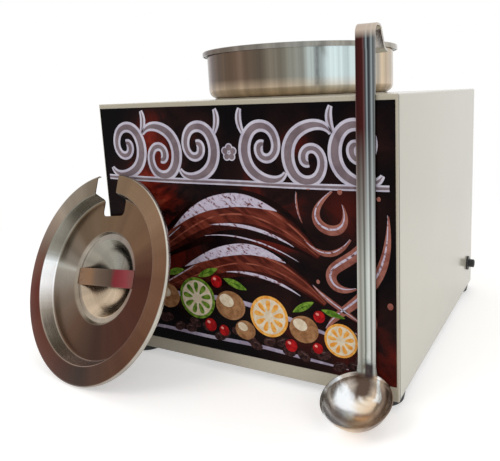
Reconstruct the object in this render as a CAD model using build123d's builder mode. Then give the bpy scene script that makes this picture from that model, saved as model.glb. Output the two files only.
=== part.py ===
from build123d import *
import os
from math import cos, radians, sin, sqrt

# Countertop chocolate melter: a folded sheet case, a heated water well with a lift-out pot,
# a slotted lid and a ladle leaning on the case. Millimetres, +Z up, the printed front faces -Y,
# and the origin is the centre of the case's footprint on the surface it stands on.

os.makedirs("parts", exist_ok=True)

# case
case_width = 280.0
case_depth = 300.0
case_height = 230.0
sheet = 1.0
base_sheet = 1.2
wrap_fold = 1.6
edge_fold = 1.2
flange_width = 12.0
front_return = 3.4
panel_gap = 0.2
rear_panel_inset = 1.0
rear_panel_round = 2.0
base_lip_height = 14.0

# printed sheet on the front
print_side_margin = 1.5
print_top_margin = 4.0
print_bottom_margin = 12.5
print_thickness = 0.3

# feet
foot_height = 8.0
foot_radius = 17.5
foot_taper = 1.5
foot_inset = 18.0
foot_recess_radius = 5.0
foot_recess_depth = 4.5

# screws
screw_radius = 1.9
screw_clearance = 0.15
head_radius = 3.4
head_height = 2.2
recess_width = 0.9
recess_length = 3.6
recess_depth = 1.1
nut_radius = 4.0
nut_height = 3.0
screw_tail = 3.0
base_screw_spacing = 100.0
rear_side_heights = (50.0, 180.0)
rear_top_spacing = 150.0

# water well
well_y = -16.0
well_sheet = 1.0
well_radius = 80.0
collar_radius = 91.0
collar_rise = 45.0
shoulder_round = 8.0
neck_bend = 1.5
well_floor_round = 10.0
rim_reach = 2.8
gasket_thickness = 1.0
gasket_width = 4.0
hole_clearance = 0.5
seat_gap = 0.05

# inset pot
pot_sheet = 1.0
pot_body_radius = 75.0
pot_neck_radius = 80.0
pot_depth = 178.0
pot_neck_depth = 24.0
pot_shoulder_drop = 6.0
pot_floor_round = 12.0
pot_lip_gap = 0.5
pot_lip_drop = 4.5
water_depth = 12.0

# heater
spreader_radius = 64.0
spreader_thickness = 4.0
element_radius = 48.0
element_tube = 3.25
element_gap_angle = 50.0
element_bend = 12.0
element_tail = 10.0
bead_radius = 4.5
bead_length = 9.0
bead_bore = 1.4
pin_radius = 1.3
pin_length = 6.0
stud_radius = 3.0
stud_length = 22.0
clamp_bar_width = 18.0
clamp_bar_overhang = 6.0
clamp_bar_thickness = 2.5
clamp_nut_height = 5.0
clamp_nut_radius = 5.5

# bands round the well
band_height = 10.0
band_thickness = 1.4
band_gap = 6.0
ear_reach = 12.0
band_bolt_radius = 2.0
bulb_radius = 3.0
bulb_length = 60.0
bulb_above_floor = 31.0
bulb_angle = 112.0
bulb_band_height = 8.0

# thermostat, switch and lamp on the rear panel
controls_height = 75.0
thermostat_x = -60.0
thermostat_size = (40.0, 30.0, 46.0)
thermostat_round = 3.0
thermostat_screw_spacing = 28.0
bush_radius = 4.5
bush_stand = 1.0
spindle_radius = 3.0
spindle_flat = 2.0
spindle_reach = 14.0
spindle_depth = 8.0
dial_radius = 27.0
dial_thickness = 0.6
knob_stand_off = 3.4
knob_skirt_radius = 19.5
knob_skirt_height = 3.5
knob_radius = 14.0
knob_height = 17.0
knob_draft = 2.0
knob_edge_round = 1.5
knob_mark_width = 1.4
knob_mark_depth = 0.8
switch_x = 60.0
bezel_size = (21.0, 31.0)
bezel_thickness = 2.0
bezel_round = 1.5
switch_body_size = (18.6, 28.0)
switch_body_depth = 20.0
rocker_size = (12.6, 21.6)
rocker_clearance = 0.35
rocker_axis_depth = 3.0
rocker_crown = 3.0
rocker_shoulder = 3.2
rocker_root = 6.0
rocker_tilt = 7.0
rocker_pin_radius = 1.5
rocker_pin_reach = 1.6
running_gap = 0.05
lamp_x = 0.0
lamp_bezel_radius = 7.0
lamp_body_radius = 5.0
lamp_body_depth = 20.0
lens_radius = 4.4
lens_seat = 4.0
lens_dome = 2.6
blade_size = (6.3, 0.8)
blade_length = 8.0
vent_slot = (34.0, 4.0)
vent_pitch = 10.0
vent_rows = 5
vent_height = 165.0
vent_spacing = 110.0

# cable entry on the right side
gland_from_rear = 28.0
gland_height = 30.0
gland_flange_radius = 8.0
gland_flange_thickness = 2.0
gland_thread_radius = 5.5
gland_sleeve_radius = 4.6
gland_sleeve_length = 6.0
gland_sleeve_round = 0.8
gland_bore = 3.2
gland_inner_length = 12.0
locknut_radius = 8.6
locknut_thickness = 4.0

# mains connections on the base
block_from_right = 48.0
block_from_rear = 88.0
block_size = (48.0, 20.0, 15.0)
block_ways = 4
block_pitch = 8.0
block_fixing_inset = 4.0
block_screw_grip = 6.0
terminal_head_radius = 2.4
terminal_head_height = 1.6
terminal_pocket = 4.0
earth_from_block = 42.0
lug_thickness = 1.0
lug_reach = 6.0
wire_radius = 1.1
wire_height = 5.0
wire_entry = 5.0
wire_bend = 5.0
wire_leads = (10.0, 16.0, 24.0)
blade_leads = (20.0, 22.0, 18.0, 16.0, 12.0)
lamp_wire_turn = (-72.0, 8.0, -33.0)
switch_wire_turn = (-22.0, -16.0, -41.0)
element_wire_turn = (-62.0, -32.0)
thermostat_wire_turn = (-2.0, -2.0)
capillary_radius = 0.8
capillary_bend = 8.0
capillary_drop = 26.0
capillary_step = 6.0
capillary_port_rise = 15.0

# lid, leaning on the case
lid_sheet = 0.8
lid_radius = 94.3
lid_lip_drop = 3.8
lid_lip_round = 3.0
lid_step_outer = 77.0
lid_step_inner = 73.0
lid_step_depth = 12.6
lid_step_round = 2.5
lid_edge_round = 1.5
shelf_outer = 42.2
shelf_inner = 40.2
shelf_depth = 16.0
cup_radius = 35.6
cup_floor_radius = 24.0
cup_depth = 29.0
cup_round = 12.0
notch_width = 30.0
notch_depth = 37.5
notch_round = 4.5
notch_turn = 6.6
strap_width = 16.0
strap_length = 78.0
strap_thickness = 1.5
strap_round = 2.5
lid_from_left = 11.6
lid_turn = 8.3
lid_tilt = 22.7
lean_gap = 0.3

# ladle, standing on its bowl
ladle_sheet = 1.0
ladle_from_right = 23.8
ladle_from_front = 26.8
bowl_radius = 25.8
bowl_depth = 19.0
bowl_tilt = 18.5
bowl_lip = 1.2
handle_width = 14.5
handle_thickness = 1.8
handle_above_case = 48.5
handle_lean_right = 0.4
hook_radius = 5.0
hook_width = 11.0
hook_drop = 15.0
hook_flare = 9.0
hook_tip = 7.0
hook_tip_drop = 2.0
hook_tip_bend = 3.0
groove_width = 7.0
groove_depth = 0.8
groove_margin = 16.0
handle_root = 5.0


# places worked out from the sizes above
half_width = case_width / 2
front = -case_depth / 2
rear = case_depth / 2
case_bottom = foot_height
case_top = case_bottom + case_height
floor_top = case_bottom + base_sheet
wrap_front = front + front_return
wrap_rear = rear - sheet
wrap_height = case_top - floor_top
mouth_half = half_width - flange_width
flange_middle = half_width - flange_width / 2
print_face = front - print_thickness
hole_radius = screw_radius + screw_clearance

seat_height = case_top + gasket_thickness
pot_top = case_top + collar_rise
rim_top = pot_top - pot_sheet
rim_bottom = rim_top - well_sheet
rim_radius = collar_radius + rim_reach
pot_lip_inner = rim_radius + pot_lip_gap
pot_bottom = pot_top - pot_depth - pot_sheet
well_bottom = pot_bottom - water_depth - well_sheet
well_hole_radius = well_radius + hole_clearance

spreader_bottom = well_bottom - spreader_thickness
element_height = spreader_bottom - element_tube - seat_gap
clamp_bar_top = element_height - element_tube - seat_gap
clamp_bar_bottom = clamp_bar_top - clamp_bar_thickness

controls_z = case_bottom + controls_height
gland_y = rear - gland_from_rear
gland_z = case_bottom + gland_height

base_screw_places = [
    (side * flange_middle, row * base_screw_spacing) for side in (-1, 1) for row in (-1, 0, 1)
]
base_lip_middle = case_bottom + base_lip_height / 2
rear_flange_places = [
    (side * flange_middle, case_bottom + z) for side in (-1, 1) for z in rear_side_heights
] + [(side * rear_top_spacing / 2, case_top - flange_width / 2) for side in (-1, 1)]
rear_lip_places = [(side * rear_top_spacing / 2, base_lip_middle) for side in (-1, 1)]
foot_places = {
    f"foot_{y_name}_{x_name}": (x * (half_width - foot_inset), y * (case_depth / 2 - foot_inset))
    for y_name, y in (("front", -1), ("rear", 1))
    for x_name, x in (("left", -1), ("right", 1))
}
thermostat_screw_xs = [
    thermostat_x - thermostat_screw_spacing / 2,
    thermostat_x + thermostat_screw_spacing / 2,
]
block_x, block_y = half_width - block_from_right, rear - block_from_rear
block_way_xs = [block_x + (i - (block_ways - 1) / 2) * block_pitch for i in range(block_ways)]
block_screw_xs = [block_x + side * (block_size[0] / 2 - block_fixing_inset) for side in (-1, 1)]
earth_x, earth_y = block_way_xs[-1], block_y - earth_from_block


def sheet_face(plane, points, thickness, side):
    """The section of a bent sheet: a path of (across, up, bend radius) points, thickened to one side."""
    with BuildSketch(plane) as face:
        with BuildLine():
            FilletPolyline(*[(x, y) for x, y, _ in points], radius=[r for _, _, r in points[1:-1]])
            offset(amount=thickness, side=side)
        make_face()
    return face.sketch


def finish(piece, name):
    """Name a finished piece and write its file."""
    piece.part.label = name
    export_step(piece.part, f"parts/{name}.step")
    return piece.part


def upright(y):
    """The vertical plane at depth y, with X across and Z up, extruding towards the front."""
    return Plane.XZ.offset(-y)


def well_level(z):
    """The horizontal plane at height z, with its origin on the well's axis."""
    return Plane((0, well_y, z))


def pan_screw(grip):
    """A pan-head screw whose head stands on Z = 0 and whose shank goes down through the grip."""
    with BuildPart() as screw:
        with BuildSketch():
            Circle(head_radius)
        extrude(amount=head_height)
        fillet(screw.edges().group_by(Axis.Z)[-1], head_height * 0.45)
        with BuildSketch():
            Circle(screw_radius)
        extrude(amount=-(grip + screw_tail))
        chamfer(screw.edges().group_by(Axis.Z)[0], screw_radius * 0.3)
        with BuildSketch(Plane.XY.offset(head_height)):
            Rectangle(recess_length, recess_width)
            Rectangle(recess_width, recess_length)
        extrude(amount=-recess_depth, mode=Mode.SUBTRACT)
    return screw.part


def hex_nut(radius, height, bore):
    """A hexagon nut standing on Z = 0."""
    with BuildPart() as nut:
        with BuildSketch():
            RegularPolygon(radius, 6)
            Circle(bore, mode=Mode.SUBTRACT)
        extrude(amount=height)
    return nut.part


def group_at(piece, places):
    """Copies of one piece at several places, as one group of separate solids."""
    with BuildPart() as group:
        with Locations(*places):
            add(piece)
    return group


# case: the wrap is the left side, the top and the right side in one folded sheet
with BuildPart() as case_wrap:
    with BuildSketch(upright(wrap_front)):
        with Locations((0, floor_top)):
            Rectangle(case_width, wrap_height, align=(Align.CENTER, Align.MIN))
    extrude(amount=-(wrap_rear - wrap_front))
    fillet(case_wrap.edges().filter_by(Axis.Y).group_by(Axis.Z)[-1], wrap_fold)
    end_edges = case_wrap.faces().filter_by(Axis.Y).edges()
    fillet([edge for edge in end_edges if edge.center().Z > floor_top + sheet], edge_fold)
    with BuildSketch(upright(wrap_front + sheet)):
        with Locations((0, floor_top + sheet)):
            Rectangle(case_width - 2 * sheet, wrap_height - 2 * sheet, align=(Align.CENTER, Align.MIN))
    extrude(amount=-(wrap_rear - wrap_front - 2 * sheet), mode=Mode.SUBTRACT)
    with BuildSketch(upright(wrap_front)):
        with Locations((0, floor_top)):
            Rectangle(2 * mouth_half, wrap_height - flange_width, align=(Align.CENTER, Align.MIN))
    extrude(amount=-(wrap_rear - wrap_front), mode=Mode.SUBTRACT)
    with Locations((0, well_y, case_top)):
        Hole(well_hole_radius, depth=2 * sheet)
    with Locations(*[(x, y, floor_top + sheet) for x, y in base_screw_places]):
        Hole(hole_radius, depth=2 * sheet)
    with BuildSketch(upright(wrap_rear)):
        with Locations(*rear_flange_places):
            Circle(hole_radius)
    extrude(amount=2 * sheet, mode=Mode.SUBTRACT)
    with BuildSketch(Plane.YZ.offset(half_width)):
        with Locations((gland_y, gland_z)):
            Circle(gland_thread_radius + screw_clearance)
    extrude(amount=-2 * sheet, mode=Mode.SUBTRACT)
finish(case_wrap, "case_wrap")

# front panel: a shallow pan, folded back at its four edges and in again behind them
with BuildPart() as front_panel:
    with BuildSketch(upright(front)):
        with Locations((0, case_bottom)):
            Rectangle(case_width, case_height, align=(Align.CENTER, Align.MIN))
    extrude(amount=-front_return)
    fillet(front_panel.faces().sort_by(Axis.Y)[0].edges(), edge_fold)
    fillet(front_panel.faces().sort_by(Axis.Y)[-1].edges(), edge_fold - panel_gap)
    with BuildSketch(upright(front + sheet)):
        with Locations((0, case_bottom + sheet)):
            Rectangle(case_width - 2 * sheet, case_height - 2 * sheet, align=(Align.CENTER, Align.MIN))
    extrude(amount=-(front_return - 2 * sheet), mode=Mode.SUBTRACT)
    with BuildSketch(upright(front + sheet)):
        with Locations((0, case_bottom + flange_width)):
            Rectangle(2 * mouth_half, case_height - 2 * flange_width, align=(Align.CENTER, Align.MIN))
    extrude(amount=-front_return, mode=Mode.SUBTRACT)
finish(front_panel, "front_panel")

with BuildPart() as front_graphic:
    with BuildSketch(upright(front)):
        with Locations((0, case_bottom + print_bottom_margin)):
            Rectangle(
                case_width - 2 * print_side_margin,
                case_height - print_bottom_margin - print_top_margin,
                align=(Align.CENTER, Align.MIN),
            )
    extrude(amount=print_thickness)
finish(front_graphic, "front_graphic")

with BuildPart() as rear_panel:
    with BuildSketch(upright(rear)):
        with Locations((0, case_bottom + case_height / 2)):
            RectangleRounded(case_width - 2 * rear_panel_inset, case_height - 2 * rear_panel_inset, rear_panel_round)
        with Locations(*rear_flange_places, *rear_lip_places):
            Circle(hole_radius, mode=Mode.SUBTRACT)
        with Locations(*[(x, controls_z) for x in thermostat_screw_xs]):
            Circle(hole_radius, mode=Mode.SUBTRACT)
        with Locations((thermostat_x, controls_z)):
            Circle(bush_radius + screw_clearance, mode=Mode.SUBTRACT)
        with Locations((switch_x, controls_z)):
            Rectangle(
                switch_body_size[0] + 2 * screw_clearance,
                switch_body_size[1] + 2 * screw_clearance,
                mode=Mode.SUBTRACT,
            )
        with Locations((lamp_x, controls_z)):
            Circle(lamp_body_radius + screw_clearance, mode=Mode.SUBTRACT)
        with Locations((0, case_bottom + vent_height)):
            with GridLocations(vent_spacing, vent_pitch, 2, vent_rows):
                SlotOverall(*vent_slot, mode=Mode.SUBTRACT)
    extrude(amount=sheet)
finish(rear_panel, "rear_panel")

base_front = wrap_front + panel_gap
base_rear = wrap_rear - panel_gap
with BuildPart() as base_plate:
    with BuildSketch(Plane.XY.offset(case_bottom)):
        with Locations((0, base_front)):
            Rectangle(case_width - sheet, base_rear - base_front, align=(Align.CENTER, Align.MIN))
    extrude(amount=base_sheet)
    with BuildSketch(Plane.XY.offset(case_bottom)):
        with Locations((0, base_front)):
            Rectangle(2 * (mouth_half - panel_gap), base_sheet, align=(Align.CENTER, Align.MIN))
        with Locations((0, base_rear)):
            Rectangle(2 * (mouth_half - panel_gap), base_sheet, align=(Align.CENTER, Align.MAX))
    extrude(amount=base_lip_height)
    with Locations(*[(x, y, floor_top) for x, y in base_screw_places]):
        Hole(hole_radius, depth=2 * base_sheet)
    with Locations(*[(x, y, floor_top) for x, y in foot_places.values()]):
        Hole(hole_radius, depth=2 * base_sheet)
    with Locations((earth_x, earth_y, floor_top), *[(x, block_y, floor_top) for x in block_screw_xs]):
        Hole(hole_radius, depth=2 * base_sheet)
    with BuildSketch(upright(base_rear)):
        with Locations(*rear_lip_places):
            Circle(hole_radius)
    extrude(amount=2 * base_sheet, mode=Mode.SUBTRACT)
    with BuildSketch(Plane.XY.offset(floor_top)):
        with GridLocations(vent_spacing, 2 * vent_pitch, 2, vent_rows):
            SlotOverall(*vent_slot)
    extrude(amount=-2 * base_sheet, mode=Mode.SUBTRACT)
finish(base_plate, "base_plate")

# fasteners of the case
base_screws = group_at(
    pan_screw(base_sheet + sheet),
    [Location((x, y, case_bottom), (180, 0, 0)) for x, y in base_screw_places],
)
finish(base_screws, "base_screws")
rear_screws = group_at(
    pan_screw(2 * sheet),
    [Location((x, rear, z), (-90, 0, 0)) for x, z in rear_flange_places + rear_lip_places],
)
finish(rear_screws, "rear_screws")

# feet: tapered rubber pads, each held by a screw from below and a nut inside
for name, (x, y) in foot_places.items():
    with BuildPart() as foot:
        with BuildSketch(Plane.XY.offset(case_bottom)):
            with Locations((x, y)):
                Circle(foot_radius)
        with BuildSketch(Plane.XY):
            with Locations((x, y)):
                Circle(foot_radius - foot_taper)
        loft()
        fillet(foot.edges().group_by(Axis.Z)[0], foot_taper)
        with Locations((x, y, foot_recess_depth)):
            Hole(foot_recess_radius, depth=foot_recess_depth)
        with Locations((x, y, case_bottom)):
            Hole(hole_radius, depth=foot_height)
    finish(foot, name)

foot_screws = group_at(
    pan_screw(case_bottom - foot_recess_depth + base_sheet + nut_height - screw_tail / 2),
    [Location((x, y, foot_recess_depth), (180, 0, 0)) for x, y in foot_places.values()],
)
finish(foot_screws, "foot_screws")
foot_nuts = group_at(
    hex_nut(nut_radius, nut_height, screw_radius + seat_gap),
    [(x, y, floor_top) for x, y in foot_places.values()],
)
finish(foot_nuts, "foot_nuts")

well_axis = Axis((0, well_y, 0), (0, 0, 1))

# water well: a stepped steel tank whose collar stands above the case
with BuildPart() as water_well:
    well_path = [
        (0, well_bottom, 0),
        (well_radius, well_bottom, well_floor_round),
        (well_radius, seat_height, neck_bend),
        (collar_radius, seat_height, shoulder_round),
        (collar_radius, rim_bottom, neck_bend),
        (rim_radius, rim_bottom, 0),
    ]
    revolve(sheet_face(upright(well_y), well_path, well_sheet, Side.LEFT), axis=well_axis)
    with BuildSketch(well_level(well_bottom)):
        Circle(stud_radius)
    extrude(amount=-stud_length)
finish(water_well, "water_well")

gasket_inner = well_radius + neck_bend + seat_gap
with BuildPart() as well_gasket:
    with BuildSketch(well_level(case_top)):
        Circle(gasket_inner + gasket_width)
        Circle(gasket_inner, mode=Mode.SUBTRACT)
    extrude(amount=gasket_thickness)
finish(well_gasket, "well_gasket")

# clamp band: gripped round the well under the top, so the well can't lift
band_inner = well_radius + seat_gap
band_outer = band_inner + band_thickness
with BuildPart() as well_band:
    with BuildSketch(well_level(case_top - sheet - band_height)):
        Circle(band_outer)
        with Locations((band_inner, 0)):
            Rectangle(
                ear_reach + band_thickness,
                band_gap + 2 * band_thickness,
                align=(Align.MIN, Align.CENTER),
            )
        Circle(band_inner, mode=Mode.SUBTRACT)
        with Locations((well_radius - band_gap, 0)):
            Rectangle(ear_reach + 3 * band_gap, band_gap, align=(Align.MIN, Align.CENTER), mode=Mode.SUBTRACT)
    extrude(amount=band_height)
    ear_middle = (band_outer + ear_reach / 2, case_top - sheet - band_height / 2)
    with BuildSketch(upright(well_y)):
        with Locations(ear_middle):
            Circle(band_bolt_radius + screw_clearance)
    extrude(amount=band_gap, both=True, mode=Mode.SUBTRACT)
finish(well_band, "well_band")

ear_half = band_gap / 2 + band_thickness
with BuildPart() as band_bolt:
    with BuildSketch(upright(well_y - ear_half)):
        with Locations(ear_middle):
            RegularPolygon(nut_radius, 6)
    extrude(amount=nut_height)
    with BuildSketch(upright(well_y - ear_half)):
        with Locations(ear_middle):
            Circle(band_bolt_radius)
    extrude(amount=-(2 * ear_half + nut_height + screw_tail))
finish(band_bolt, "band_bolt")
with BuildPart() as band_nut:
    with BuildSketch(upright(well_y + ear_half)):
        with Locations(ear_middle):
            RegularPolygon(nut_radius, 6)
            Circle(band_bolt_radius + seat_gap, mode=Mode.SUBTRACT)
    extrude(amount=-nut_height)
finish(band_nut, "band_nut")

# inset pot: hangs by its flange on the well's rim
with BuildPart() as inset_pot:
    pot_path = [
        (0, pot_bottom, 0),
        (pot_body_radius, pot_bottom, pot_floor_round),
        (pot_body_radius, pot_top - pot_neck_depth - pot_shoulder_drop, pot_sheet * 3),
        (pot_neck_radius, pot_top - pot_neck_depth, pot_sheet * 3),
        (pot_neck_radius, rim_top, neck_bend),
        (pot_lip_inner, rim_top, pot_lip_gap),
        (pot_lip_inner, pot_top - pot_lip_drop, 0),
    ]
    revolve(sheet_face(upright(well_y), pot_path, pot_sheet, Side.LEFT), axis=well_axis)
finish(inset_pot, "inset_pot")

# heater under the well
with BuildPart() as heat_spreader:
    with BuildSketch(well_level(spreader_bottom)):
        Circle(spreader_radius)
        Circle(stud_radius + screw_clearance, mode=Mode.SUBTRACT)
    extrude(amount=spreader_thickness)
finish(heat_spreader, "heat_spreader")

element_centre = Vector(0, well_y, element_height)
element_ends = []
for side in (1, -1):
    angle = radians(90 - side * element_gap_angle / 2)
    out = Vector(cos(angle), sin(angle), 0)
    along = Vector(-sin(angle), cos(angle), 0) * side
    ring_end = element_centre + out * element_radius
    bend_end = ring_end + along * element_bend - Vector(0, 0, element_bend)
    element_ends.append((ring_end, along, bend_end, bend_end - Vector(0, 0, element_tail)))
with BuildPart() as heating_element:
    (start, start_along, start_bend, start_tail), (end, end_along, end_bend, end_tail) = element_ends
    with BuildLine() as element_path:
        Line(start_tail, start_bend)
        TangentArc(start_bend, start, tangent=(0, 0, 1))
        ThreePointArc(start, element_centre - Vector(0, element_radius, 0), end)
        TangentArc(end, end_bend, tangent=end_along)
        Line(end_bend, end_tail)
    with BuildSketch(Plane(start_tail, z_dir=(0, 0, 1))):
        Circle(element_tube)
    sweep()
finish(heating_element, "heating_element")

bead_places = [tail - Vector(0, 0, bead_length) for _, _, _, tail in element_ends]
with BuildPart() as element_beads:
    for place in bead_places:
        with BuildSketch(Plane(place)):
            Circle(bead_radius)
            Circle(bead_bore, mode=Mode.SUBTRACT)
        extrude(amount=bead_length)
finish(element_beads, "element_beads")
with BuildPart() as element_pins:
    for place in bead_places:
        with BuildSketch(Plane(place - Vector(0, 0, pin_length))):
            Circle(pin_radius)
        extrude(amount=pin_length + bead_length)
finish(element_pins, "element_pins")

with BuildPart() as element_clamp:
    with BuildSketch(well_level(clamp_bar_bottom)):
        SlotOverall(2 * (element_radius + clamp_bar_overhang), clamp_bar_width)
        Circle(stud_radius + screw_clearance, mode=Mode.SUBTRACT)
    extrude(amount=clamp_bar_thickness)
finish(element_clamp, "element_clamp")
clamp_nut = group_at(
    hex_nut(clamp_nut_radius, clamp_nut_height, stud_radius + seat_gap),
    [(0, well_y, clamp_bar_bottom - clamp_nut_height)],
)
finish(clamp_nut, "clamp_nut")

# thermostat: body and bush behind the panel, spindle and knob turning together
thermostat_front = wrap_rear - thermostat_size[1]
with BuildPart() as thermostat_body:
    with BuildSketch(upright(wrap_rear)):
        with Locations((thermostat_x, controls_z)):
            RectangleRounded(thermostat_size[0], thermostat_size[2], thermostat_round)
    extrude(amount=thermostat_size[1])
    with BuildSketch(upright(wrap_rear)):
        with Locations((thermostat_x, controls_z)):
            Circle(bush_radius)
    extrude(amount=-(sheet + dial_thickness + bush_stand))
    with BuildSketch(upright(rear + dial_thickness + bush_stand)):
        with Locations((thermostat_x, controls_z)):
            Circle(spindle_radius + running_gap)
    extrude(amount=spindle_depth + running_gap, mode=Mode.SUBTRACT)
    with BuildSketch(upright(wrap_rear)):
        with Locations(*[(x, controls_z) for x in thermostat_screw_xs]):
            Circle(hole_radius)
    extrude(amount=2 * screw_tail, mode=Mode.SUBTRACT)
    with BuildSketch(upright(thermostat_front)):
        with Locations(*[(thermostat_x + s * thermostat_size[0] / 4, controls_z) for s in (-1, 1)]):
            Rectangle(blade_size[1], blade_size[0])
    extrude(amount=blade_length)
finish(thermostat_body, "thermostat_body")
thermostat_screws = group_at(
    pan_screw(sheet),
    [Location((x, rear, controls_z), (-90, 0, 0)) for x in thermostat_screw_xs],
)
finish(thermostat_screws, "thermostat_screws")

spindle_back = rear + dial_thickness + bush_stand - spindle_depth
with BuildPart() as thermostat_spindle:
    with BuildSketch(upright(spindle_back)):
        with Locations((thermostat_x, controls_z)):
            Circle(spindle_radius)
    extrude(amount=-(spindle_depth + spindle_reach))
    with BuildSketch(upright(spindle_back + spindle_depth + running_gap)):
        with Locations((thermostat_x, controls_z + spindle_flat)):
            Rectangle(2 * spindle_radius, spindle_radius, align=(Align.CENTER, Align.MIN))
    extrude(amount=-spindle_reach, mode=Mode.SUBTRACT)
finish(thermostat_spindle, "thermostat_spindle")

with BuildPart() as dial_plate:
    with BuildSketch(upright(rear)):
        with Locations((thermostat_x, controls_z)):
            Circle(dial_radius)
            Circle(bush_radius + screw_clearance, mode=Mode.SUBTRACT)
        with Locations(*[(x, controls_z) for x in thermostat_screw_xs]):
            Circle(head_radius + screw_clearance, mode=Mode.SUBTRACT)
    extrude(amount=-dial_thickness)
finish(dial_plate, "dial_plate")

knob_back = rear + knob_stand_off
with BuildPart() as thermostat_knob:
    with BuildSketch(upright(knob_back)):
        with Locations((thermostat_x, controls_z)):
            Circle(knob_skirt_radius)
    extrude(amount=-knob_skirt_height)
    fillet(thermostat_knob.edges().group_by(Axis.Y)[-1], knob_skirt_height / 2)
    with BuildSketch(upright(knob_back)):
        with Locations((thermostat_x, controls_z)):
            Circle(knob_radius)
    extrude(amount=-knob_height, taper=knob_draft)
    fillet(thermostat_knob.edges().group_by(Axis.Y)[-1], knob_edge_round)
    with BuildSketch(upright(knob_back)):
        with Locations((thermostat_x, controls_z)):
            Circle(spindle_radius + seat_gap)
            with Locations((0, spindle_flat + seat_gap)):
                Rectangle(
                    2 * knob_radius, spindle_radius, align=(Align.CENTER, Align.MIN), mode=Mode.SUBTRACT
                )
    extrude(amount=-(spindle_reach - knob_stand_off + dial_thickness + bush_stand + seat_gap), mode=Mode.SUBTRACT)
    with BuildSketch(upright(knob_back + knob_height)):
        with Locations((thermostat_x, controls_z)):
            Rectangle(knob_mark_width, knob_radius, align=(Align.CENTER, Align.MIN))
    extrude(amount=knob_mark_depth, mode=Mode.SUBTRACT)
finish(thermostat_knob, "thermostat_knob")

# sensing bulb on the well's wall, its band, and the capillary that joins it to the thermostat
bulb_out = Vector(cos(radians(bulb_angle)), sin(radians(bulb_angle)), 0)
bulb_place = bulb_out * (well_radius + bulb_radius + seat_gap)
bulb_bottom = well_bottom + bulb_above_floor
bulb_foot = bulb_place + Vector(0, well_y, bulb_bottom)
with BuildPart() as sensing_bulb:
    with BuildSketch(Plane(bulb_foot)):
        Circle(bulb_radius)
    extrude(amount=bulb_length)
    fillet(sensing_bulb.edges().filter_by(GeomType.CIRCLE), bulb_radius * 0.6)
finish(sensing_bulb, "sensing_bulb")
with BuildPart() as bulb_band:
    with BuildSketch(well_level(bulb_bottom + bulb_length / 2 - bulb_band_height / 2)):
        Circle(band_inner + sheet)
        with Locations((bulb_place.X, bulb_place.Y)):
            Circle(bulb_radius + seat_gap + sheet)
        Circle(band_inner, mode=Mode.SUBTRACT)
        with Locations((bulb_place.X, bulb_place.Y)):
            Circle(bulb_radius + seat_gap, mode=Mode.SUBTRACT)
    extrude(amount=bulb_band_height)
finish(bulb_band, "bulb_band")


def bent_tube(points, radius, bend):
    """A round tube or wire along straight runs joined by tangent arcs."""
    start, second = Vector(points[0]), Vector(points[1])
    with BuildPart() as tube:
        with BuildLine():
            FilletPolyline(*points, radius=bend)
        with BuildSketch(Plane(start, z_dir=second - start)):
            Circle(radius)
        sweep()
    return tube.part


capillary_low = bulb_foot - Vector(0, 0, capillary_drop)
capillary_port = Vector(thermostat_x - thermostat_size[0] / 4, thermostat_front, controls_z + capillary_port_rise)
with BuildPart() as capillary:
    add(
        bent_tube(
            [
                bulb_foot,
                capillary_low,
                Vector(capillary_port.X, capillary_low.Y + capillary_step, capillary_port.Z),
                capillary_port,
            ],
            capillary_radius,
            capillary_bend,
        )
    )
finish(capillary, "capillary")

# rocker switch: body with its well and pin bores, and the rocker resting on its off side
rocker_axis_y = rear + bezel_thickness - rocker_axis_depth
rocker_half = rocker_size[1] / 2
cavity_half = sqrt(rocker_half**2 + rocker_shoulder**2) + rocker_clearance
cavity_width = rocker_size[0] + 2 * rocker_clearance
cavity_floor = rocker_axis_y - sqrt(rocker_root**2 + (rocker_half / 2) ** 2) - rocker_clearance
with BuildPart() as switch_body:
    with BuildSketch(upright(rear)):
        with Locations((switch_x, controls_z)):
            RectangleRounded(*bezel_size, bezel_round)
    extrude(amount=-bezel_thickness)
    fillet(switch_body.edges().group_by(Axis.Y)[-1], bezel_thickness / 3)
    with BuildSketch(upright(rear)):
        with Locations((switch_x, controls_z)):
            Rectangle(*switch_body_size)
    extrude(amount=switch_body_depth)
    with BuildSketch(upright(cavity_floor)):
        with Locations((switch_x, controls_z)):
            Rectangle(cavity_width, 2 * cavity_half)
    extrude(amount=-switch_body_depth, mode=Mode.SUBTRACT)
    with BuildSketch(Plane.YZ.offset(switch_x)):
        with Locations((rocker_axis_y, controls_z)):
            Circle(rocker_pin_radius + running_gap)
    extrude(amount=cavity_width / 2 + rocker_pin_reach, both=True, mode=Mode.SUBTRACT)
    with BuildSketch(upright(rear - switch_body_depth)):
        with Locations(*[(switch_x, controls_z + s * switch_body_size[1] / 4) for s in (-1, 1)]):
            Rectangle(*blade_size)
    extrude(amount=blade_length)
finish(switch_body, "switch_body")

rocker_axis = Axis((switch_x, rocker_axis_y, controls_z), (1, 0, 0))
with BuildPart() as switch_rocker:
    with BuildSketch(Plane.YZ.offset(switch_x)):
        with BuildLine():
            Polyline(
                (rocker_axis_y + rocker_shoulder, controls_z - rocker_half),
                (rocker_axis_y + rocker_crown, controls_z),
                (rocker_axis_y + rocker_shoulder, controls_z + rocker_half),
                (rocker_axis_y - rocker_root, controls_z + rocker_half / 2),
                (rocker_axis_y - rocker_root, controls_z - rocker_half / 2),
                close=True,
            )
        make_face()
    extrude(amount=rocker_size[0] / 2, both=True)
    with BuildSketch(Plane.YZ.offset(switch_x)):
        with Locations((rocker_axis_y, controls_z)):
            Circle(rocker_pin_radius)
    extrude(amount=rocker_size[0] / 2 + rocker_pin_reach, both=True)
switch_rocker.part = switch_rocker.part.rotate(rocker_axis, -rocker_tilt)
finish(switch_rocker, "switch_rocker")

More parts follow.
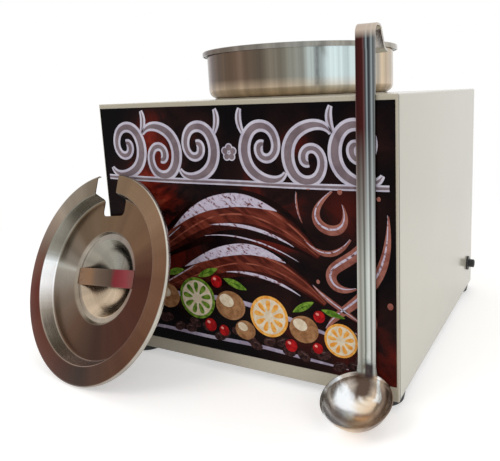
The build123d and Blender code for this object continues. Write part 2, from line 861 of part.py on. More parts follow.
# pilot lamp
with BuildPart() as lamp_body:
    with BuildSketch(upright(rear)):
        with Locations((lamp_x, controls_z)):
            Circle(lamp_bezel_radius)
    extrude(amount=-bezel_thickness)
    fillet(lamp_body.edges().group_by(Axis.Y)[-1], bezel_thickness / 3)
    with BuildSketch(upright(rear)):
        with Locations((lamp_x, controls_z)):
            Circle(lamp_body_radius)
    extrude(amount=lamp_body_depth)
    with BuildSketch(upright(rear + bezel_thickness)):
        with Locations((lamp_x, controls_z)):
            Circle(lens_radius + seat_gap)
    extrude(amount=lens_seat, mode=Mode.SUBTRACT)
    with BuildSketch(upright(rear - lamp_body_depth)):
        with Locations(*[(lamp_x + s * lamp_body_radius / 2, controls_z) for s in (-1, 1)]):
            Rectangle(blade_size[1], blade_size[0] / 2)
    extrude(amount=blade_length)
finish(lamp_body, "lamp_body")
with BuildPart() as lamp_lens:
    with BuildSketch(upright(rear + bezel_thickness - lens_seat)):
        with Locations((lamp_x, controls_z)):
            Circle(lens_radius)
    extrude(amount=-(lens_seat + lens_dome))
    fillet(lamp_lens.edges().group_by(Axis.Y)[-1], lens_dome * 0.9)
finish(lamp_lens, "lamp_lens")


# cable gland through the right side
def side_plane(x):
    """A plane square to X on the gland's line, extruding to the right."""
    return Plane((x, gland_y, gland_z), x_dir=(0, 1, 0), z_dir=(1, 0, 0))


with BuildPart() as cable_gland:
    with BuildSketch(side_plane(half_width)):
        Circle(gland_flange_radius)
    extrude(amount=gland_flange_thickness)
    fillet(cable_gland.edges().group_by(Axis.X)[-1], gland_flange_thickness / 4)
    with BuildSketch(side_plane(half_width + gland_flange_thickness)):
        Circle(gland_sleeve_radius)
    extrude(amount=gland_sleeve_length)
    fillet(cable_gland.edges().group_by(Axis.X)[-1], gland_sleeve_round)
    with BuildSketch(side_plane(half_width)):
        Circle(gland_thread_radius)
    extrude(amount=-(sheet + gland_inner_length))
    with BuildSketch(side_plane(half_width - sheet - gland_inner_length)):
        Circle(gland_bore)
    extrude(amount=case_width, mode=Mode.SUBTRACT)
finish(cable_gland, "cable_gland")
with BuildPart() as gland_locknut:
    with BuildSketch(side_plane(half_width - sheet)):
        RegularPolygon(locknut_radius, 6)
        Circle(gland_thread_radius + seat_gap, mode=Mode.SUBTRACT)
    extrude(amount=-locknut_thickness)
finish(gland_locknut, "gland_locknut")

# terminal block, earth stud and wiring on the base
block_front = block_y - block_size[1] / 2
block_top = floor_top + block_size[2]
wire_z = floor_top + wire_height
with BuildPart() as terminal_block:
    with BuildSketch(Plane.XY.offset(floor_top)):
        with Locations((block_x, block_y)):
            Rectangle(block_size[0], block_size[1])
        with Locations(*[(x, block_y) for x in block_screw_xs]):
            Circle(hole_radius, mode=Mode.SUBTRACT)
    extrude(amount=block_size[2])
    with BuildSketch(Plane.XY.offset(block_top)):
        with Locations(*[(x, block_y + s * block_size[1] / 4) for x in block_way_xs for s in (-1, 1)]):
            Circle(terminal_head_radius + seat_gap)
    extrude(amount=-terminal_pocket, mode=Mode.SUBTRACT)
    for start, inward in ((block_front, -1), (block_front + block_size[1], 1)):
        with BuildSketch(upright(start)):
            with Locations(*[(x, wire_z) for x in block_way_xs]):
                Circle(wire_radius + screw_clearance)
        extrude(amount=inward * wire_entry, mode=Mode.SUBTRACT)
finish(terminal_block, "terminal_block")
with BuildPart() as terminal_screws:
    with BuildSketch(Plane.XY.offset(block_top - terminal_pocket)):
        with Locations(*[(x, block_y + s * block_size[1] / 4) for x in block_way_xs for s in (-1, 1)]):
            Circle(terminal_head_radius)
    extrude(amount=terminal_head_height)
    with BuildSketch(Plane.XY.offset(block_top - terminal_pocket + terminal_head_height)):
        with Locations(*[(x, block_y + s * block_size[1] / 4) for x in block_way_xs for s in (-1, 1)]):
            Rectangle(2 * terminal_head_radius, recess_width)
    extrude(amount=-terminal_head_height / 2, mode=Mode.SUBTRACT)
finish(terminal_screws, "terminal_screws")
block_screws = group_at(
    pan_screw(base_sheet + block_screw_grip),
    [Location((x, block_y, case_bottom), (180, 0, 0)) for x in block_screw_xs],
)
finish(block_screws, "block_screws")

lug_bottom = floor_top + nut_height
with BuildPart() as earth_stud:
    with Locations(Location((earth_x, earth_y, case_bottom), (180, 0, 0))):
        add(pan_screw(base_sheet + 2 * nut_height + lug_thickness))
finish(earth_stud, "earth_stud")
earth_nuts = group_at(
    hex_nut(nut_radius, nut_height, screw_radius + seat_gap),
    [(earth_x, earth_y, floor_top), (earth_x, earth_y, lug_bottom + lug_thickness)],
)
finish(earth_nuts, "earth_nuts")
lug_end = earth_y + nut_radius + lug_reach
with BuildPart() as earth_lug:
    with BuildSketch(Plane.XY.offset(lug_bottom)):
        with Locations((earth_x, earth_y)):
            Circle(nut_radius)
            Rectangle(2 * wire_radius, nut_radius + lug_reach, align=(Align.CENTER, Align.MIN))
            Circle(screw_radius + seat_gap, mode=Mode.SUBTRACT)
    extrude(amount=lug_thickness)
    with BuildSketch(upright(lug_end)):
        with Locations((earth_x, wire_z)):
            Circle(wire_radius + lug_thickness / 2)
    extrude(amount=lug_reach - 2 * lug_thickness)
finish(earth_lug, "earth_lug")

entry_y = block_front + wire_entry
pin_ends = [place - Vector(0, 0, pin_length) for place in bead_places]
wire_low = (floor_top + pin_ends[0].Z) / 2
switch_blade_y = rear - switch_body_depth - blade_length
switch_blade_zs = [controls_z - switch_body_size[1] / 4, controls_z + switch_body_size[1] / 4]
thermostat_blade_xs = [thermostat_x - thermostat_size[0] / 4, thermostat_x + thermostat_size[0] / 4]
thermostat_blade_y = thermostat_front - blade_length
lamp_blade_xs = [lamp_x - lamp_body_radius / 2, lamp_x + lamp_body_radius / 2]
lamp_blade_y = rear - lamp_body_depth - blade_length
blade_share = blade_size[0] / 4
lamp_lead, switch_lead, link_lead, thermostat_lead, short_lead = blade_leads
wire_routes = [
    # block to the lamp
    [
        (block_way_xs[0], entry_y, wire_z),
        (block_way_xs[0], block_front - wire_leads[0], wire_z),
        (block_x + lamp_wire_turn[0], block_y + lamp_wire_turn[1], controls_z + lamp_wire_turn[2]),
        (lamp_blade_xs[0], lamp_blade_y - lamp_lead, controls_z),
        (lamp_blade_xs[0], lamp_blade_y, controls_z),
    ],
    # block to the switch
    [
        (block_way_xs[1], entry_y, wire_z),
        (block_way_xs[1], block_front - wire_leads[1], wire_z),
        (block_x + switch_wire_turn[0], block_y + switch_wire_turn[1], controls_z + switch_wire_turn[2]),
        (switch_x, switch_blade_y - switch_lead, switch_blade_zs[0]),
        (switch_x, switch_blade_y, switch_blade_zs[0]),
    ],
    # block to the element
    [
        (block_way_xs[2], entry_y, wire_z),
        (block_way_xs[2], block_front - wire_leads[2], wire_z),
        (block_x + element_wire_turn[0], block_y + element_wire_turn[1], wire_low),
        (pin_ends[0].X, pin_ends[0].Y, wire_low),
        tuple(pin_ends[0]),
    ],
    # switch to the thermostat
    [
        (switch_x + blade_share, switch_blade_y, switch_blade_zs[1]),
        (switch_x + blade_share, switch_blade_y - link_lead, switch_blade_zs[1]),
        (thermostat_blade_xs[1], thermostat_blade_y - thermostat_lead, controls_z),
        (thermostat_blade_xs[1], thermostat_blade_y, controls_z),
    ],
    # switch to the lamp
    [
        (switch_x - blade_share, switch_blade_y, switch_blade_zs[1]),
        (switch_x - blade_share, switch_blade_y - short_lead, switch_blade_zs[1]),
        (lamp_blade_xs[1], lamp_blade_y - short_lead, controls_z),
        (lamp_blade_xs[1], lamp_blade_y, controls_z),
    ],
    # thermostat to the element
    [
        (thermostat_blade_xs[0], thermostat_blade_y, controls_z),
        (thermostat_blade_xs[0], thermostat_blade_y - switch_lead, controls_z),
        (thermostat_x + thermostat_wire_turn[0], block_y + thermostat_wire_turn[1], wire_low),
        (pin_ends[1].X, pin_ends[1].Y, wire_low),
        tuple(pin_ends[1]),
    ],
]
with BuildPart() as internal_wiring:
    for route in wire_routes:
        add(bent_tube(route, wire_radius, wire_bend))
    with BuildSketch(upright(entry_y)):
        with Locations((earth_x, wire_z)):
            Circle(wire_radius)
    extrude(amount=entry_y - lug_end)
finish(internal_wiring, "internal_wiring")

# lid: its own axes are out of the visible face, to the right, and up towards the notch
turn, tilt = radians(lid_turn), radians(lid_tilt)
lid_out = Vector(-sin(turn) * cos(tilt), -cos(turn) * cos(tilt), sin(tilt))
lid_right = Vector(cos(turn), -sin(turn), 0)
lid_up = lid_out.cross(lid_right)
swing = radians(notch_turn)
notch_right = lid_right * cos(swing) + lid_up * sin(swing)
notch_up = lid_up * cos(swing) - lid_right * sin(swing)
notch_corner = (
    notch_right * (notch_width / 2)
    + notch_up * sqrt(lid_radius**2 - (notch_width / 2) ** 2)
    - lid_out * lid_lip_drop
)
lid_centre = Vector(
    -half_width + lid_from_left,
    print_face - lean_gap - notch_corner.Y,
    lid_radius * lid_up.Z + lid_lip_drop * lid_out.Z,
)
lid_section = Plane(lid_centre, x_dir=lid_right, z_dir=lid_right.cross(lid_out))
with BuildPart() as lid_shell:
    lid_path = [
        (0, -cup_depth, 0),
        (cup_floor_radius, -cup_depth, cup_round),
        (cup_radius, -shelf_depth, lid_step_round),
        (shelf_inner, -shelf_depth, lid_edge_round / 2),
        (shelf_outer, -lid_step_depth, lid_edge_round / 2),
        (lid_step_inner, -lid_step_depth, lid_step_round),
        (lid_step_outer, 0, lid_edge_round),
        (lid_radius, 0, lid_lip_round),
        (lid_radius, -lid_lip_drop, 0),
    ]
    revolve(sheet_face(lid_section, lid_path, lid_sheet, Side.RIGHT), axis=Axis(lid_centre, lid_out))
    notch_middle = lid_radius - notch_depth / 2
    with BuildSketch(Plane(lid_centre, x_dir=notch_right, z_dir=lid_out)):
        with Locations((0, notch_middle)):
            RectangleRounded(notch_width, notch_depth, notch_round)
        with Locations((0, lid_radius)):
            Rectangle(notch_width, notch_depth)
    extrude(amount=cup_depth, both=True, mode=Mode.SUBTRACT)
finish(lid_shell, "lid_shell")

# strap across the cup, its ends resting on the shelf round it
with BuildPart() as lid_handle:
    with BuildSketch(Plane(lid_centre - lid_out * shelf_depth, x_dir=notch_right, z_dir=lid_out)):
        RectangleRounded(strap_length, strap_width, strap_round)
    extrude(amount=strap_thickness)
finish(lid_handle, "lid_handle")

# ladle: a spherical bowl standing on the floor, and a grooved strip that leans on the case and ends in a hook
bowl_sphere = (bowl_radius**2 + bowl_depth**2) / (2 * bowl_depth)
bowl_tip = radians(bowl_tilt)
bowl_out = Vector(0, -sin(bowl_tip), cos(bowl_tip))
bowl_back = Vector(0, cos(bowl_tip), sin(bowl_tip))
bowl_centre = Vector(
    half_width - ladle_from_right,
    front - ladle_from_front,
    bowl_sphere - (bowl_sphere - bowl_depth) * bowl_out.Z,
)
handle_foot = bowl_centre + bowl_back * bowl_radius
lean = (print_face - lean_gap - handle_foot.Y) / (case_top - handle_foot.Z)
handle_up = Vector(sin(radians(handle_lean_right)), lean, 1).normalized()
handle_side = Vector(0, 1, 0).cross(handle_up).normalized()
handle_back = handle_up.cross(handle_side)
handle_plane = Plane(handle_foot, x_dir=handle_back, z_dir=handle_side)
handle_length = (case_top + handle_above_case - handle_foot.Z) / handle_up.Z - handle_thickness
with BuildPart() as ladle:
    bowl_plane = Plane(bowl_centre, x_dir=(1, 0, 0), z_dir=Vector(1, 0, 0).cross(bowl_out))
    with BuildSketch(bowl_plane) as bowl_section:
        with BuildLine():
            half_arc = radians(45)
            bowl_low = (0, -bowl_depth)
            bowl_middle = (bowl_sphere * sin(half_arc), bowl_sphere - bowl_depth - bowl_sphere * cos(half_arc))
            ThreePointArc(bowl_low, bowl_middle, (bowl_radius, 0))
            Line((bowl_radius, 0), (bowl_radius + bowl_lip, bowl_lip))
            offset(amount=ladle_sheet, side=Side.LEFT)
        make_face()
    revolve(axis=Axis(bowl_centre, bowl_out))
    hook_path = [
        (0, -handle_root, 0),
        (0, handle_length, hook_radius),
        (hook_width, handle_length, hook_radius),
        (hook_width + hook_flare, handle_length - hook_drop, hook_tip_bend),
        (hook_width + hook_flare + hook_tip, handle_length - hook_drop - hook_tip_drop, 0),
    ]
    handle_face = sheet_face(handle_plane, hook_path, handle_thickness, Side.LEFT)
    extrude(handle_face, amount=handle_width / 2, both=True)
    groove_plane = Plane(handle_foot - handle_back * handle_thickness, x_dir=handle_side, z_dir=-handle_back)
    with BuildSketch(groove_plane):
        with Locations((0, handle_length / 2)):
            SlotOverall(handle_length - 2 * groove_margin, groove_width, rotation=90)
    extrude(amount=-groove_depth, mode=Mode.SUBTRACT)
finish(ladle, "ladle")
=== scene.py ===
import math
import bpy
from mathutils import Matrix, Vector


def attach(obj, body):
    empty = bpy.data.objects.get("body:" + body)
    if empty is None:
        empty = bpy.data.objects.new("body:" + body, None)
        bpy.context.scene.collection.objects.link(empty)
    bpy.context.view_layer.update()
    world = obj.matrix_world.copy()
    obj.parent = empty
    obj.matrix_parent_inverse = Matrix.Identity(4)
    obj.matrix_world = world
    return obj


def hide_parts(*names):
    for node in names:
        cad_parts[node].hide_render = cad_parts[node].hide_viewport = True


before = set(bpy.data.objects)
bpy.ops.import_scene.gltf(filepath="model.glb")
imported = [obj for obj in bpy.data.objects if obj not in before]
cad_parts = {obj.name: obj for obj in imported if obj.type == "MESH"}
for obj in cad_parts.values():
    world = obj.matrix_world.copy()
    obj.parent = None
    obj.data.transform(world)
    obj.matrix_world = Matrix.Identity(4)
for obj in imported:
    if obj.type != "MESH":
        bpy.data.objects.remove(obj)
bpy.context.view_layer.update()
mm = 0.001
faceOfPrint = -150.3  # front of the printed film, which the lid and the ladle lean on
leanGap = 0.3
print("frame loaded:", len(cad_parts), "nodes")


def metres(*values):
    return tuple(value * mm for value in values)


def deselectAll():
    if bpy.context.object and bpy.context.object.mode != 'OBJECT':
        bpy.ops.object.mode_set(mode='OBJECT')
    bpy.ops.object.select_all(action='DESELECT')


def makeActive(piece):
    deselectAll()
    piece.select_set(True)
    bpy.context.view_layer.objects.active = piece


def applyPlace(piece):  # leaves the object at the origin, its place in its mesh
    makeActive(piece)
    bpy.ops.object.transform_apply(location=True, rotation=True, scale=True)


def moveTo(piece, matrix):
    piece.matrix_world = matrix @ piece.matrix_world
    applyPlace(piece)


def startEdit(action='SELECT'):
    bpy.ops.object.mode_set(mode='EDIT')
    bpy.ops.mesh.select_mode(type='EDGE')
    bpy.ops.mesh.select_all(action=action)


def endEdit():
    bpy.ops.object.mode_set(mode='OBJECT')


def selectEdges(piece, wanted):  # wanted judges an edge by its two ends, and edit mode stays on
    startEdit('DESELECT')
    endEdit()
    for edge in piece.data.edges:
        edge.select = wanted(*(piece.data.vertices[i].co for i in edge.vertices))
    bpy.ops.object.mode_set(mode='EDIT')


def roundEdges(piece, radius, segments, wanted):
    selectEdges(piece, wanted)
    bpy.ops.mesh.bevel(offset=radius * mm, segments=segments)
    endEdit()


def flipFaces():
    startEdit()
    bpy.ops.mesh.flip_normals()
    endEdit()


def applyModifier(piece, kind, **values):
    makeActive(piece)
    modifier = piece.modifiers.new(kind.title(), kind)
    for key, value in values.items():
        setattr(modifier, key, value)
    bpy.ops.object.modifier_apply(modifier=modifier.name)


def bevelPiece(piece, width, segments=2, angle=30):
    applyModifier(piece, 'BEVEL', width=width * mm, segments=segments, limit_method='ANGLE',
                  angle_limit=math.radians(angle))


def smoothPiece(piece, angle=40):
    makeActive(piece)
    bpy.ops.object.shade_smooth_by_angle(angle=math.radians(angle))


def joinPieces(pieces, name):
    deselectAll()
    for piece in pieces:
        piece.select_set(True)
    bpy.context.view_layer.objects.active = pieces[0]
    bpy.ops.object.join()
    pieces[0].name = name
    return pieces[0]


def paint(piece, material):
    piece.data.materials.clear()
    piece.data.materials.append(material)


def dress(piece, body, material, *nodes):  # material, body, and the CAD nodes it stands for
    paint(piece, material)
    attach(piece, body)
    if nodes:
        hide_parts(*nodes)


def added(operator, **values):  # what an add operator makes, with nothing else selected
    deselectAll()
    operator(**values)
    return bpy.context.object


def settle(piece, matrix, body, material, *nodes):
    moveTo(piece, matrix)
    smoothPiece(piece)
    dress(piece, body, material, *nodes)


def axesAt(x, y, z, origin):  # local axes and origin to a matrix
    matrix = Matrix((x, y, z)).transposed().to_4x4()
    matrix.translation = origin
    return matrix


def addBlock(size, place=(0, 0, 0)):  # a block to start a piece from, in millimetres
    block = added(bpy.ops.mesh.primitive_cube_add, size=1)
    block.scale = metres(*size)
    block.location = metres(*place)
    applyPlace(block)
    return block


def roundedPath(corners, steps=6):  # (across, up, radius) corners to a smooth list of points
    points = [Vector(corners[0][:2])]
    for before, corner, after in zip(corners, corners[1:], corners[2:]):
        here = Vector(corner[:2])
        back = (Vector(before[:2]) - here).normalized()
        ahead = (Vector(after[:2]) - here).normalized()
        half = back.angle(ahead) / 2
        reach = corner[2] / math.tan(half)
        if reach <= 0:
            points.append(here)
            continue
        centre = here + (back + ahead).normalized() * corner[2] / math.sin(half)
        start, end = here + back * reach - centre, here + ahead * reach - centre
        turn = start.angle_signed(end)
        points += [centre + Matrix.Rotation(-turn * step / steps, 2) @ start for step in range(steps + 1)]
    points.append(Vector(corners[-1][:2]))
    return points


def spunShell(name, corners, segments, wall, outward, steps=6):  # outward: the middle of the shell faces up
    path = [(max(p.x, 0.15), p.y) for p in roundedPath(corners, steps)]
    piece = added(bpy.ops.mesh.primitive_circle_add, vertices=segments, radius=path[0][0] * mm, fill_type='NGON',
                  location=(0, 0, path[0][1] * mm))
    piece.name = name
    startEdit()
    for (r0, z0), (r1, z1) in zip(path, path[1:]):
        bpy.ops.mesh.extrude_edges_move(TRANSFORM_OT_translate={"value": (0, 0, (z1 - z0) * mm)})
        bpy.ops.transform.resize(value=(r1 / r0, r1 / r0, 1), center_override=(0, 0, 0))
    bpy.ops.mesh.select_all(action='SELECT')
    bpy.ops.mesh.remove_doubles(threshold=0.00001)
    bpy.ops.mesh.normals_make_consistent(inside=False)
    endEdit()
    applyPlace(piece)
    middle = max(piece.data.polygons, key=lambda face: len(face.vertices))
    if (middle.normal.z > 0) != outward:
        flipFaces()
    applyModifier(piece, 'SOLIDIFY', thickness=wall * mm, offset=-1, use_even_offset=True)
    return piece


# materials: every one is built from nodes on Object coordinates

def tone(red, green, blue):  # screen numbers to the light values that nodes take
    return tuple(value / 3294.6 if value < 10.5 else ((value / 255 + 0.055) / 1.055) ** 2.4
                 for value in (red, green, blue))


def feed(socket, value):  # links another node's output, or sets a plain value
    if isinstance(value, bpy.types.NodeSocket):
        socket.id_data.links.new(value, socket)
    else:
        socket.default_value = (*value, 1) if socket.type == 'RGBA' else value


def addNode(source, kind, inputs=None, **traits):  # beside the source, a node, socket or tree
    node = source.id_data.nodes.new("ShaderNode" + kind)
    for trait, value in traits.items():
        setattr(node, trait, value)
    for socket, value in (inputs or {}).items():
        feed(node.inputs[socket], value)
    return node


def startMaterial(name, metallic, roughness, specular=0.5, coat=0.0):
    material = bpy.data.materials.new(name)
    material.use_nodes = True
    shader = material.node_tree.nodes["Principled BSDF"]
    for socket, value in (("Metallic", metallic), ("Roughness", roughness), ("Specular IOR Level", specular),
                          ("Coat Weight", coat), ("Coat Roughness", 0.05)):
        shader.inputs[socket].default_value = value
    return material, shader


def finishShader(shader, colour, grain, rough=None, bump=0.0, distance=0.0002):
    feed(shader.inputs["Base Color"], colour)
    if rough:
        feed(shader.inputs["Roughness"], rangeOn(grain, *rough))
    if bump:
        dents = addNode(grain, 'Bump', {"Strength": bump, "Distance": distance, "Height": grain})
        feed(shader.inputs["Normal"], dents.outputs["Normal"])


def objectPlace(shader, location=(0, 0, 0), rotation=(0, 0, 0), scale=(1, 1, 1)):
    spot = addNode(shader, 'TexCoord').outputs["Object"]
    # as a texture, the location and rotation are those of the pattern's own frame
    return addNode(spot, 'Mapping', {"Vector": spot, "Location": location, "Rotation": rotation, "Scale": scale},
                   vector_type='TEXTURE').outputs["Vector"]


def noiseOn(vector, scale, detail=3.0, roughness=0.5, distortion=0.0):
    return addNode(vector, 'TexNoise', {"Vector": vector, "Scale": scale, "Detail": detail, "Roughness": roughness,
                                      "Distortion": distortion}).outputs["Fac"]


def rampOn(value, stops):
    ramp = addNode(value, 'ValToRGB', {"Fac": value})
    elements = ramp.color_ramp.elements
    while len(elements) < len(stops):
        elements.new(0.5)
    for element, (place, colour) in zip(elements, stops):
        element.position = place
        element.color = (*colour, 1)
    return ramp.outputs["Color"]


def toneRamp(value, stops):  # stops are a place and three screen numbers
    return rampOn(value, [(place, tone(*colour)) for place, *colour in stops])


def roundRamp(share, stops):  # colours round an axis, stops in degrees from -180 up
    placed = [((degree + 180) / 360, tone(*colour)) for degree, *colour in stops]
    seamShade = tuple((a + b) / 2 for a, b in zip(placed[0][1], placed[-1][1]))
    return rampOn(share, [(0, seamShade), *placed, (1, seamShade)])


def rangeOn(value, low, high, fromLow=0.3, fromHigh=0.7, **traits):
    return addNode(value, 'MapRange', {"Value": value, "From Min": fromLow, "From Max": fromHigh, "To Min": low,
                                      "To Max": high}, **traits).outputs["Result"]


def mathOn(kind, *values):
    return addNode(values[0], 'Math', dict(enumerate(values)), operation=kind).outputs["Value"]


def vectorOn(kind, *values):
    node = addNode(values[0], 'VectorMath', dict(enumerate(values)), operation=kind)
    return node.outputs["Vector" if kind == 'NORMALIZE' else "Value"]


def splitOn(vector):
    return addNode(vector, 'SeparateXYZ', {"Vector": vector}).outputs


def combineOn(*values):
    return addNode(values[0], 'CombineXYZ', dict(zip("XYZ", values))).outputs["Vector"]


def swayed(value, noise, amount):  # the value moved to and fro by a noise
    return mathOn('ADD', value, mathOn('MULTIPLY', mathOn('SUBTRACT', noise, 0.5), amount))


def mixColours(factor, first, second, kind='MIX'):
    return addNode(first, 'Mix', {"Factor": factor, "A": first, "B": second}, data_type='RGBA',
                   blend_type=kind).outputs["Result"]


def mottledMaterial(name, dark, light, toneScale, rough, grainScale, bump, metallic=0.0, coat=0.0,
                    stretch=(1, 1, 1)):
    material, shader = startMaterial(name, metallic, rough[0], coat=coat)
    place = objectPlace(shader, scale=stretch)
    colour = rampOn(noiseOn(place, toneScale), ((0.35, dark), (0.65, light)))
    finishShader(shader, colour, noiseOn(place, grainScale, 4.0), rough, bump)
    return material


def turnedMetal(name, s):
    material, shader = startMaterial(name, 1.0, s["rough"][0])
    x, y, z = splitOn(objectPlace(shader, s["centre"], s["rotation"]))
    flat = combineOn(x, y)
    radius = vectorOn('LENGTH', flat)
    direction = vectorOn('NORMALIZE', flat)
    angle = mathOn('ARCTAN2', y, x)
    # fine lines that run round the axis
    along = z if s["lines"] == "height" else radius
    lineVector = combineOn(mathOn('MULTIPLY', along, s["lineScale"]), mathOn('MULTIPLY', angle, 1.5))
    lines = noiseOn(lineVector, 1.0, 5.0, 0.65)
    # painted reflection streaks that run out from the axis or down the wall
    paintedStreaks = noiseOn(direction, s["streakScale"], 4.0, 0.55)
    share = mathOn('DIVIDE', mathOn('ADD', angle, math.pi), 2 * math.pi)
    share = swayed(share, paintedStreaks, s["wobble"])
    # the zones' tones round the axis are painted reflections
    colour = inner = roundRamp(share, s["zones"][0][2])
    for edge, soft, stops in s["zones"][1:]:  # painted reflection tones by angle, outward, each from its edge radius on
        beyond = rangeOn(radius, 0, 1, (edge - soft) * mm, (edge + soft) * mm)
        colour = mixColours(beyond, colour, roundRamp(share, stops))
    if s.get("paintedFootReflection"):  # a painted warm reflection of the case top, which fades out with height
        low, high, strength, warm = s["paintedFootReflection"]
        colour = mixColours(rangeOn(z, strength, 0.0, low * mm, high * mm), colour, tone(*warm))
    if "lined" in s:  # faces that look at the axis keep the inner zone's colours
        facing = vectorOn('DOT_PRODUCT', addNode(shader, 'NewGeometry').outputs["Normal"], direction)
        colour = mixColours(rangeOn(facing, 0, 1, *s["lined"]), inner, colour)
    # the brushed lines' own grain, times the painted reflection streaks
    shade = mathOn('MULTIPLY', rangeOn(lines, 1.0 - s["lineDepth"], 1.0),
                   rangeOn(paintedStreaks, 1.0 - s["streakDepth"], 1.0 + s["streakDepth"]))
    colour = mixColours(1.0, colour, combineOn(shade, shade, shade), 'MULTIPLY')
    finishShader(shader, colour, lines, s["rough"], s["bump"], 0.00005)
    return material


plainFinishes = {  # dark and light tone, their scale, roughness, grain scale, bump, metallic, coat, stretch
    # the front's paint is the side's paint made darker, as painted shade
    "shadedFrontPaint": ((0.43, 0.385, 0.29), (0.49, 0.45, 0.36), 5, (0.2, 0.3), 900, 0.03, 0.0, 0.15),
    "rearPaint": ((0.6, 0.57, 0.5), (0.65, 0.62, 0.55), 5, (0.2, 0.3), 900, 0.04, 0.0, 0.3),
    "zincPlate": ((0.42, 0.43, 0.44), (0.56, 0.57, 0.58), 60, (0.3, 0.5), 500, 0.05, 0.9),
    "footRubber": ((0.01, 0.01, 0.011), (0.022, 0.022, 0.022), 90, (0.5, 0.75), 1500, 0.2),
    "paleSilicone": ((0.4, 0.35, 0.27), (0.48, 0.43, 0.34), 80, (0.45, 0.6), 1200, 0.1),
    "blackPlastic": ((0.012, 0.012, 0.013), (0.024, 0.024, 0.025), 120, (0.32, 0.5), 2400, 0.12),
    "knobPlastic": ((0.014, 0.014, 0.015), (0.022, 0.022, 0.024), 150, (0.2, 0.34), 2600, 0.06, 0.0, 0.2),
    "castAluminium": ((0.5, 0.5, 0.51), (0.66, 0.66, 0.67), 200, (0.35, 0.55), 900, 0.25, 1.0),
    "dialAluminium": ((0.66, 0.66, 0.67), (0.74, 0.74, 0.75), 30, (0.28, 0.4), 400, 0.06, 1.0, 0.0, (1, 1, 0.03)),
    "brassTurned": ((0.62, 0.44, 0.16), (0.74, 0.55, 0.24), 200, (0.22, 0.36), 900, 0.08, 1.0),
    "beadCeramic": ((0.68, 0.66, 0.6), (0.78, 0.76, 0.7), 250, (0.5, 0.7), 1600, 0.15),
    "copperTube": ((0.55, 0.22, 0.11), (0.7, 0.34, 0.2), 120, (0.25, 0.42), 800, 0.06, 1.0),
    "blockPlastic": ((0.66, 0.64, 0.58), (0.74, 0.72, 0.67), 120, (0.4, 0.55), 1800, 0.08),
    "wireJacket": ((0.02, 0.02, 0.1), (0.035, 0.035, 0.15), 200, (0.35, 0.5), 2000, 0.05),
    "screwSteel": ((0.46, 0.46, 0.46), (0.62, 0.62, 0.61), 400, (0.22, 0.4), 2500, 0.08, 1.0),
    "elementSheath": ((0.16, 0.15, 0.14), (0.34, 0.31, 0.28), 90, (0.4, 0.6), 900, 0.12, 1.0),
    "bandSteel": ((0.5, 0.5, 0.5), (0.64, 0.64, 0.63), 60, (0.25, 0.42), 700, 0.06, 1.0, 0.0, (1, 1, 0.1)),
    "dialInk": ((0.015, 0.015, 0.016), (0.025, 0.025, 0.026), 300, (0.4, 0.55), 2400, 0.05),
    "markInk": ((0.72, 0.72, 0.72), (0.8, 0.8, 0.79), 300, (0.35, 0.5), 2400, 0.05),
}
finishes = {name: mottledMaterial(name, *values) for name, values in plainFinishes.items()}

sidePaint = {
    "paint": ((0.55, 0.525, 0.435), (0.59, 0.565, 0.475), 4, (0.18, 0.26), 900, 0.03, 0.0, 0.25),
    # colour of the painted shade in the seam gap, its strength and its depth from the front edge
    "seamShade": (60, 54, 48), "seamShare": 0.85, "seamDepth": (0.5, 1.3),
}


def sideMaterial():  # painted shade darkens the side paint in the seam gap behind the front panel
    material = mottledMaterial("wrapPaint", *sidePaint["paint"])
    base = material.node_tree.nodes["Principled BSDF"].inputs["Base Color"]
    y = splitOn(objectPlace(base))["Y"]
    edge = min(vertex.co.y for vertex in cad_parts["case_wrap"].data.vertices)
    near = rangeOn(mathOn('SUBTRACT', y, edge), sidePaint["seamShare"], 0.0,
                   *metres(*sidePaint["seamDepth"]))
    feed(base, mixColours(near, base.links[0].from_socket, tone(*sidePaint["seamShade"])))
    return material


def lensMaterial():
    material, shader = startMaterial("lampLens", 0.0, 0.12, coat=0.5)
    shader.inputs["Transmission Weight"].default_value = 0.35
    cells = addNode(shader, 'TexVoronoi', {"Vector": objectPlace(shader), "Scale": 900}).outputs["Distance"]
    colour = rampOn(cells, ((0.0, (0.72, 0.10, 0.015)), (0.6, (0.50, 0.05, 0.01))))
    finishShader(shader, colour, cells, bump=0.3)
    return material


finishes["wrapPaint"] = sideMaterial()
finishes["lampLens"] = lensMaterial()

# printed film on the front: dark ground with a warm glow, and the inks that stand on it

printSettings = {
    "layer": 0.022,  # how much each ink stands over the one below
    "shine": (0.3, 0.04),  # roughness and specular level
    "rough": (0.24, 0.34),
    "glows": [  # centre across and up, reach, strength
        (-72, 206, 52, 0.85), (-30, 205, 36, 0.5), (-78, 152, 74, 1.15), (-52, 96, 66, 0.95), (56, 200, 50, 0.5),
        (30, 140, 90, 0.6), (100, 150, 56, 0.42), (120, 208, 34, 0.35), (60, 60, 70, 0.4), (132, 30, 90, 0.55),
    ],
    "ground": [(0.0, 5, 3, 5), (0.25, 34, 16, 15), (0.6, 92, 26, 18), (0.85, 128, 42, 30), (1.0, 150, 62, 44)],
}


def filmMaterial():
    s = printSettings
    material, shader = startMaterial("printedFilm", 0.0, *s["shine"])
    place = objectPlace(shader)
    drift = noiseOn(place, 16, 5.0, 0.6, 1.2)
    falls = []
    for x, z, reach, strength in s["glows"]:
        away = vectorOn('DISTANCE', place, metres(x, faceOfPrint, z))
        falls.append(rangeOn(away, strength, 0.0, 0.0, reach * mm, interpolation_type='SMOOTHSTEP'))
    total = falls[0]
    for fall in falls[1:]:
        total = mathOn('MAXIMUM', total, fall)
    glow = mathOn('MULTIPLY', total, rangeOn(drift, 0.1, 1.0, 0.34, 0.6))
    finishShader(shader, toneRamp(glow, s["ground"]), noiseOn(place, 700, 2.0), s["rough"], 0.02)
    return material


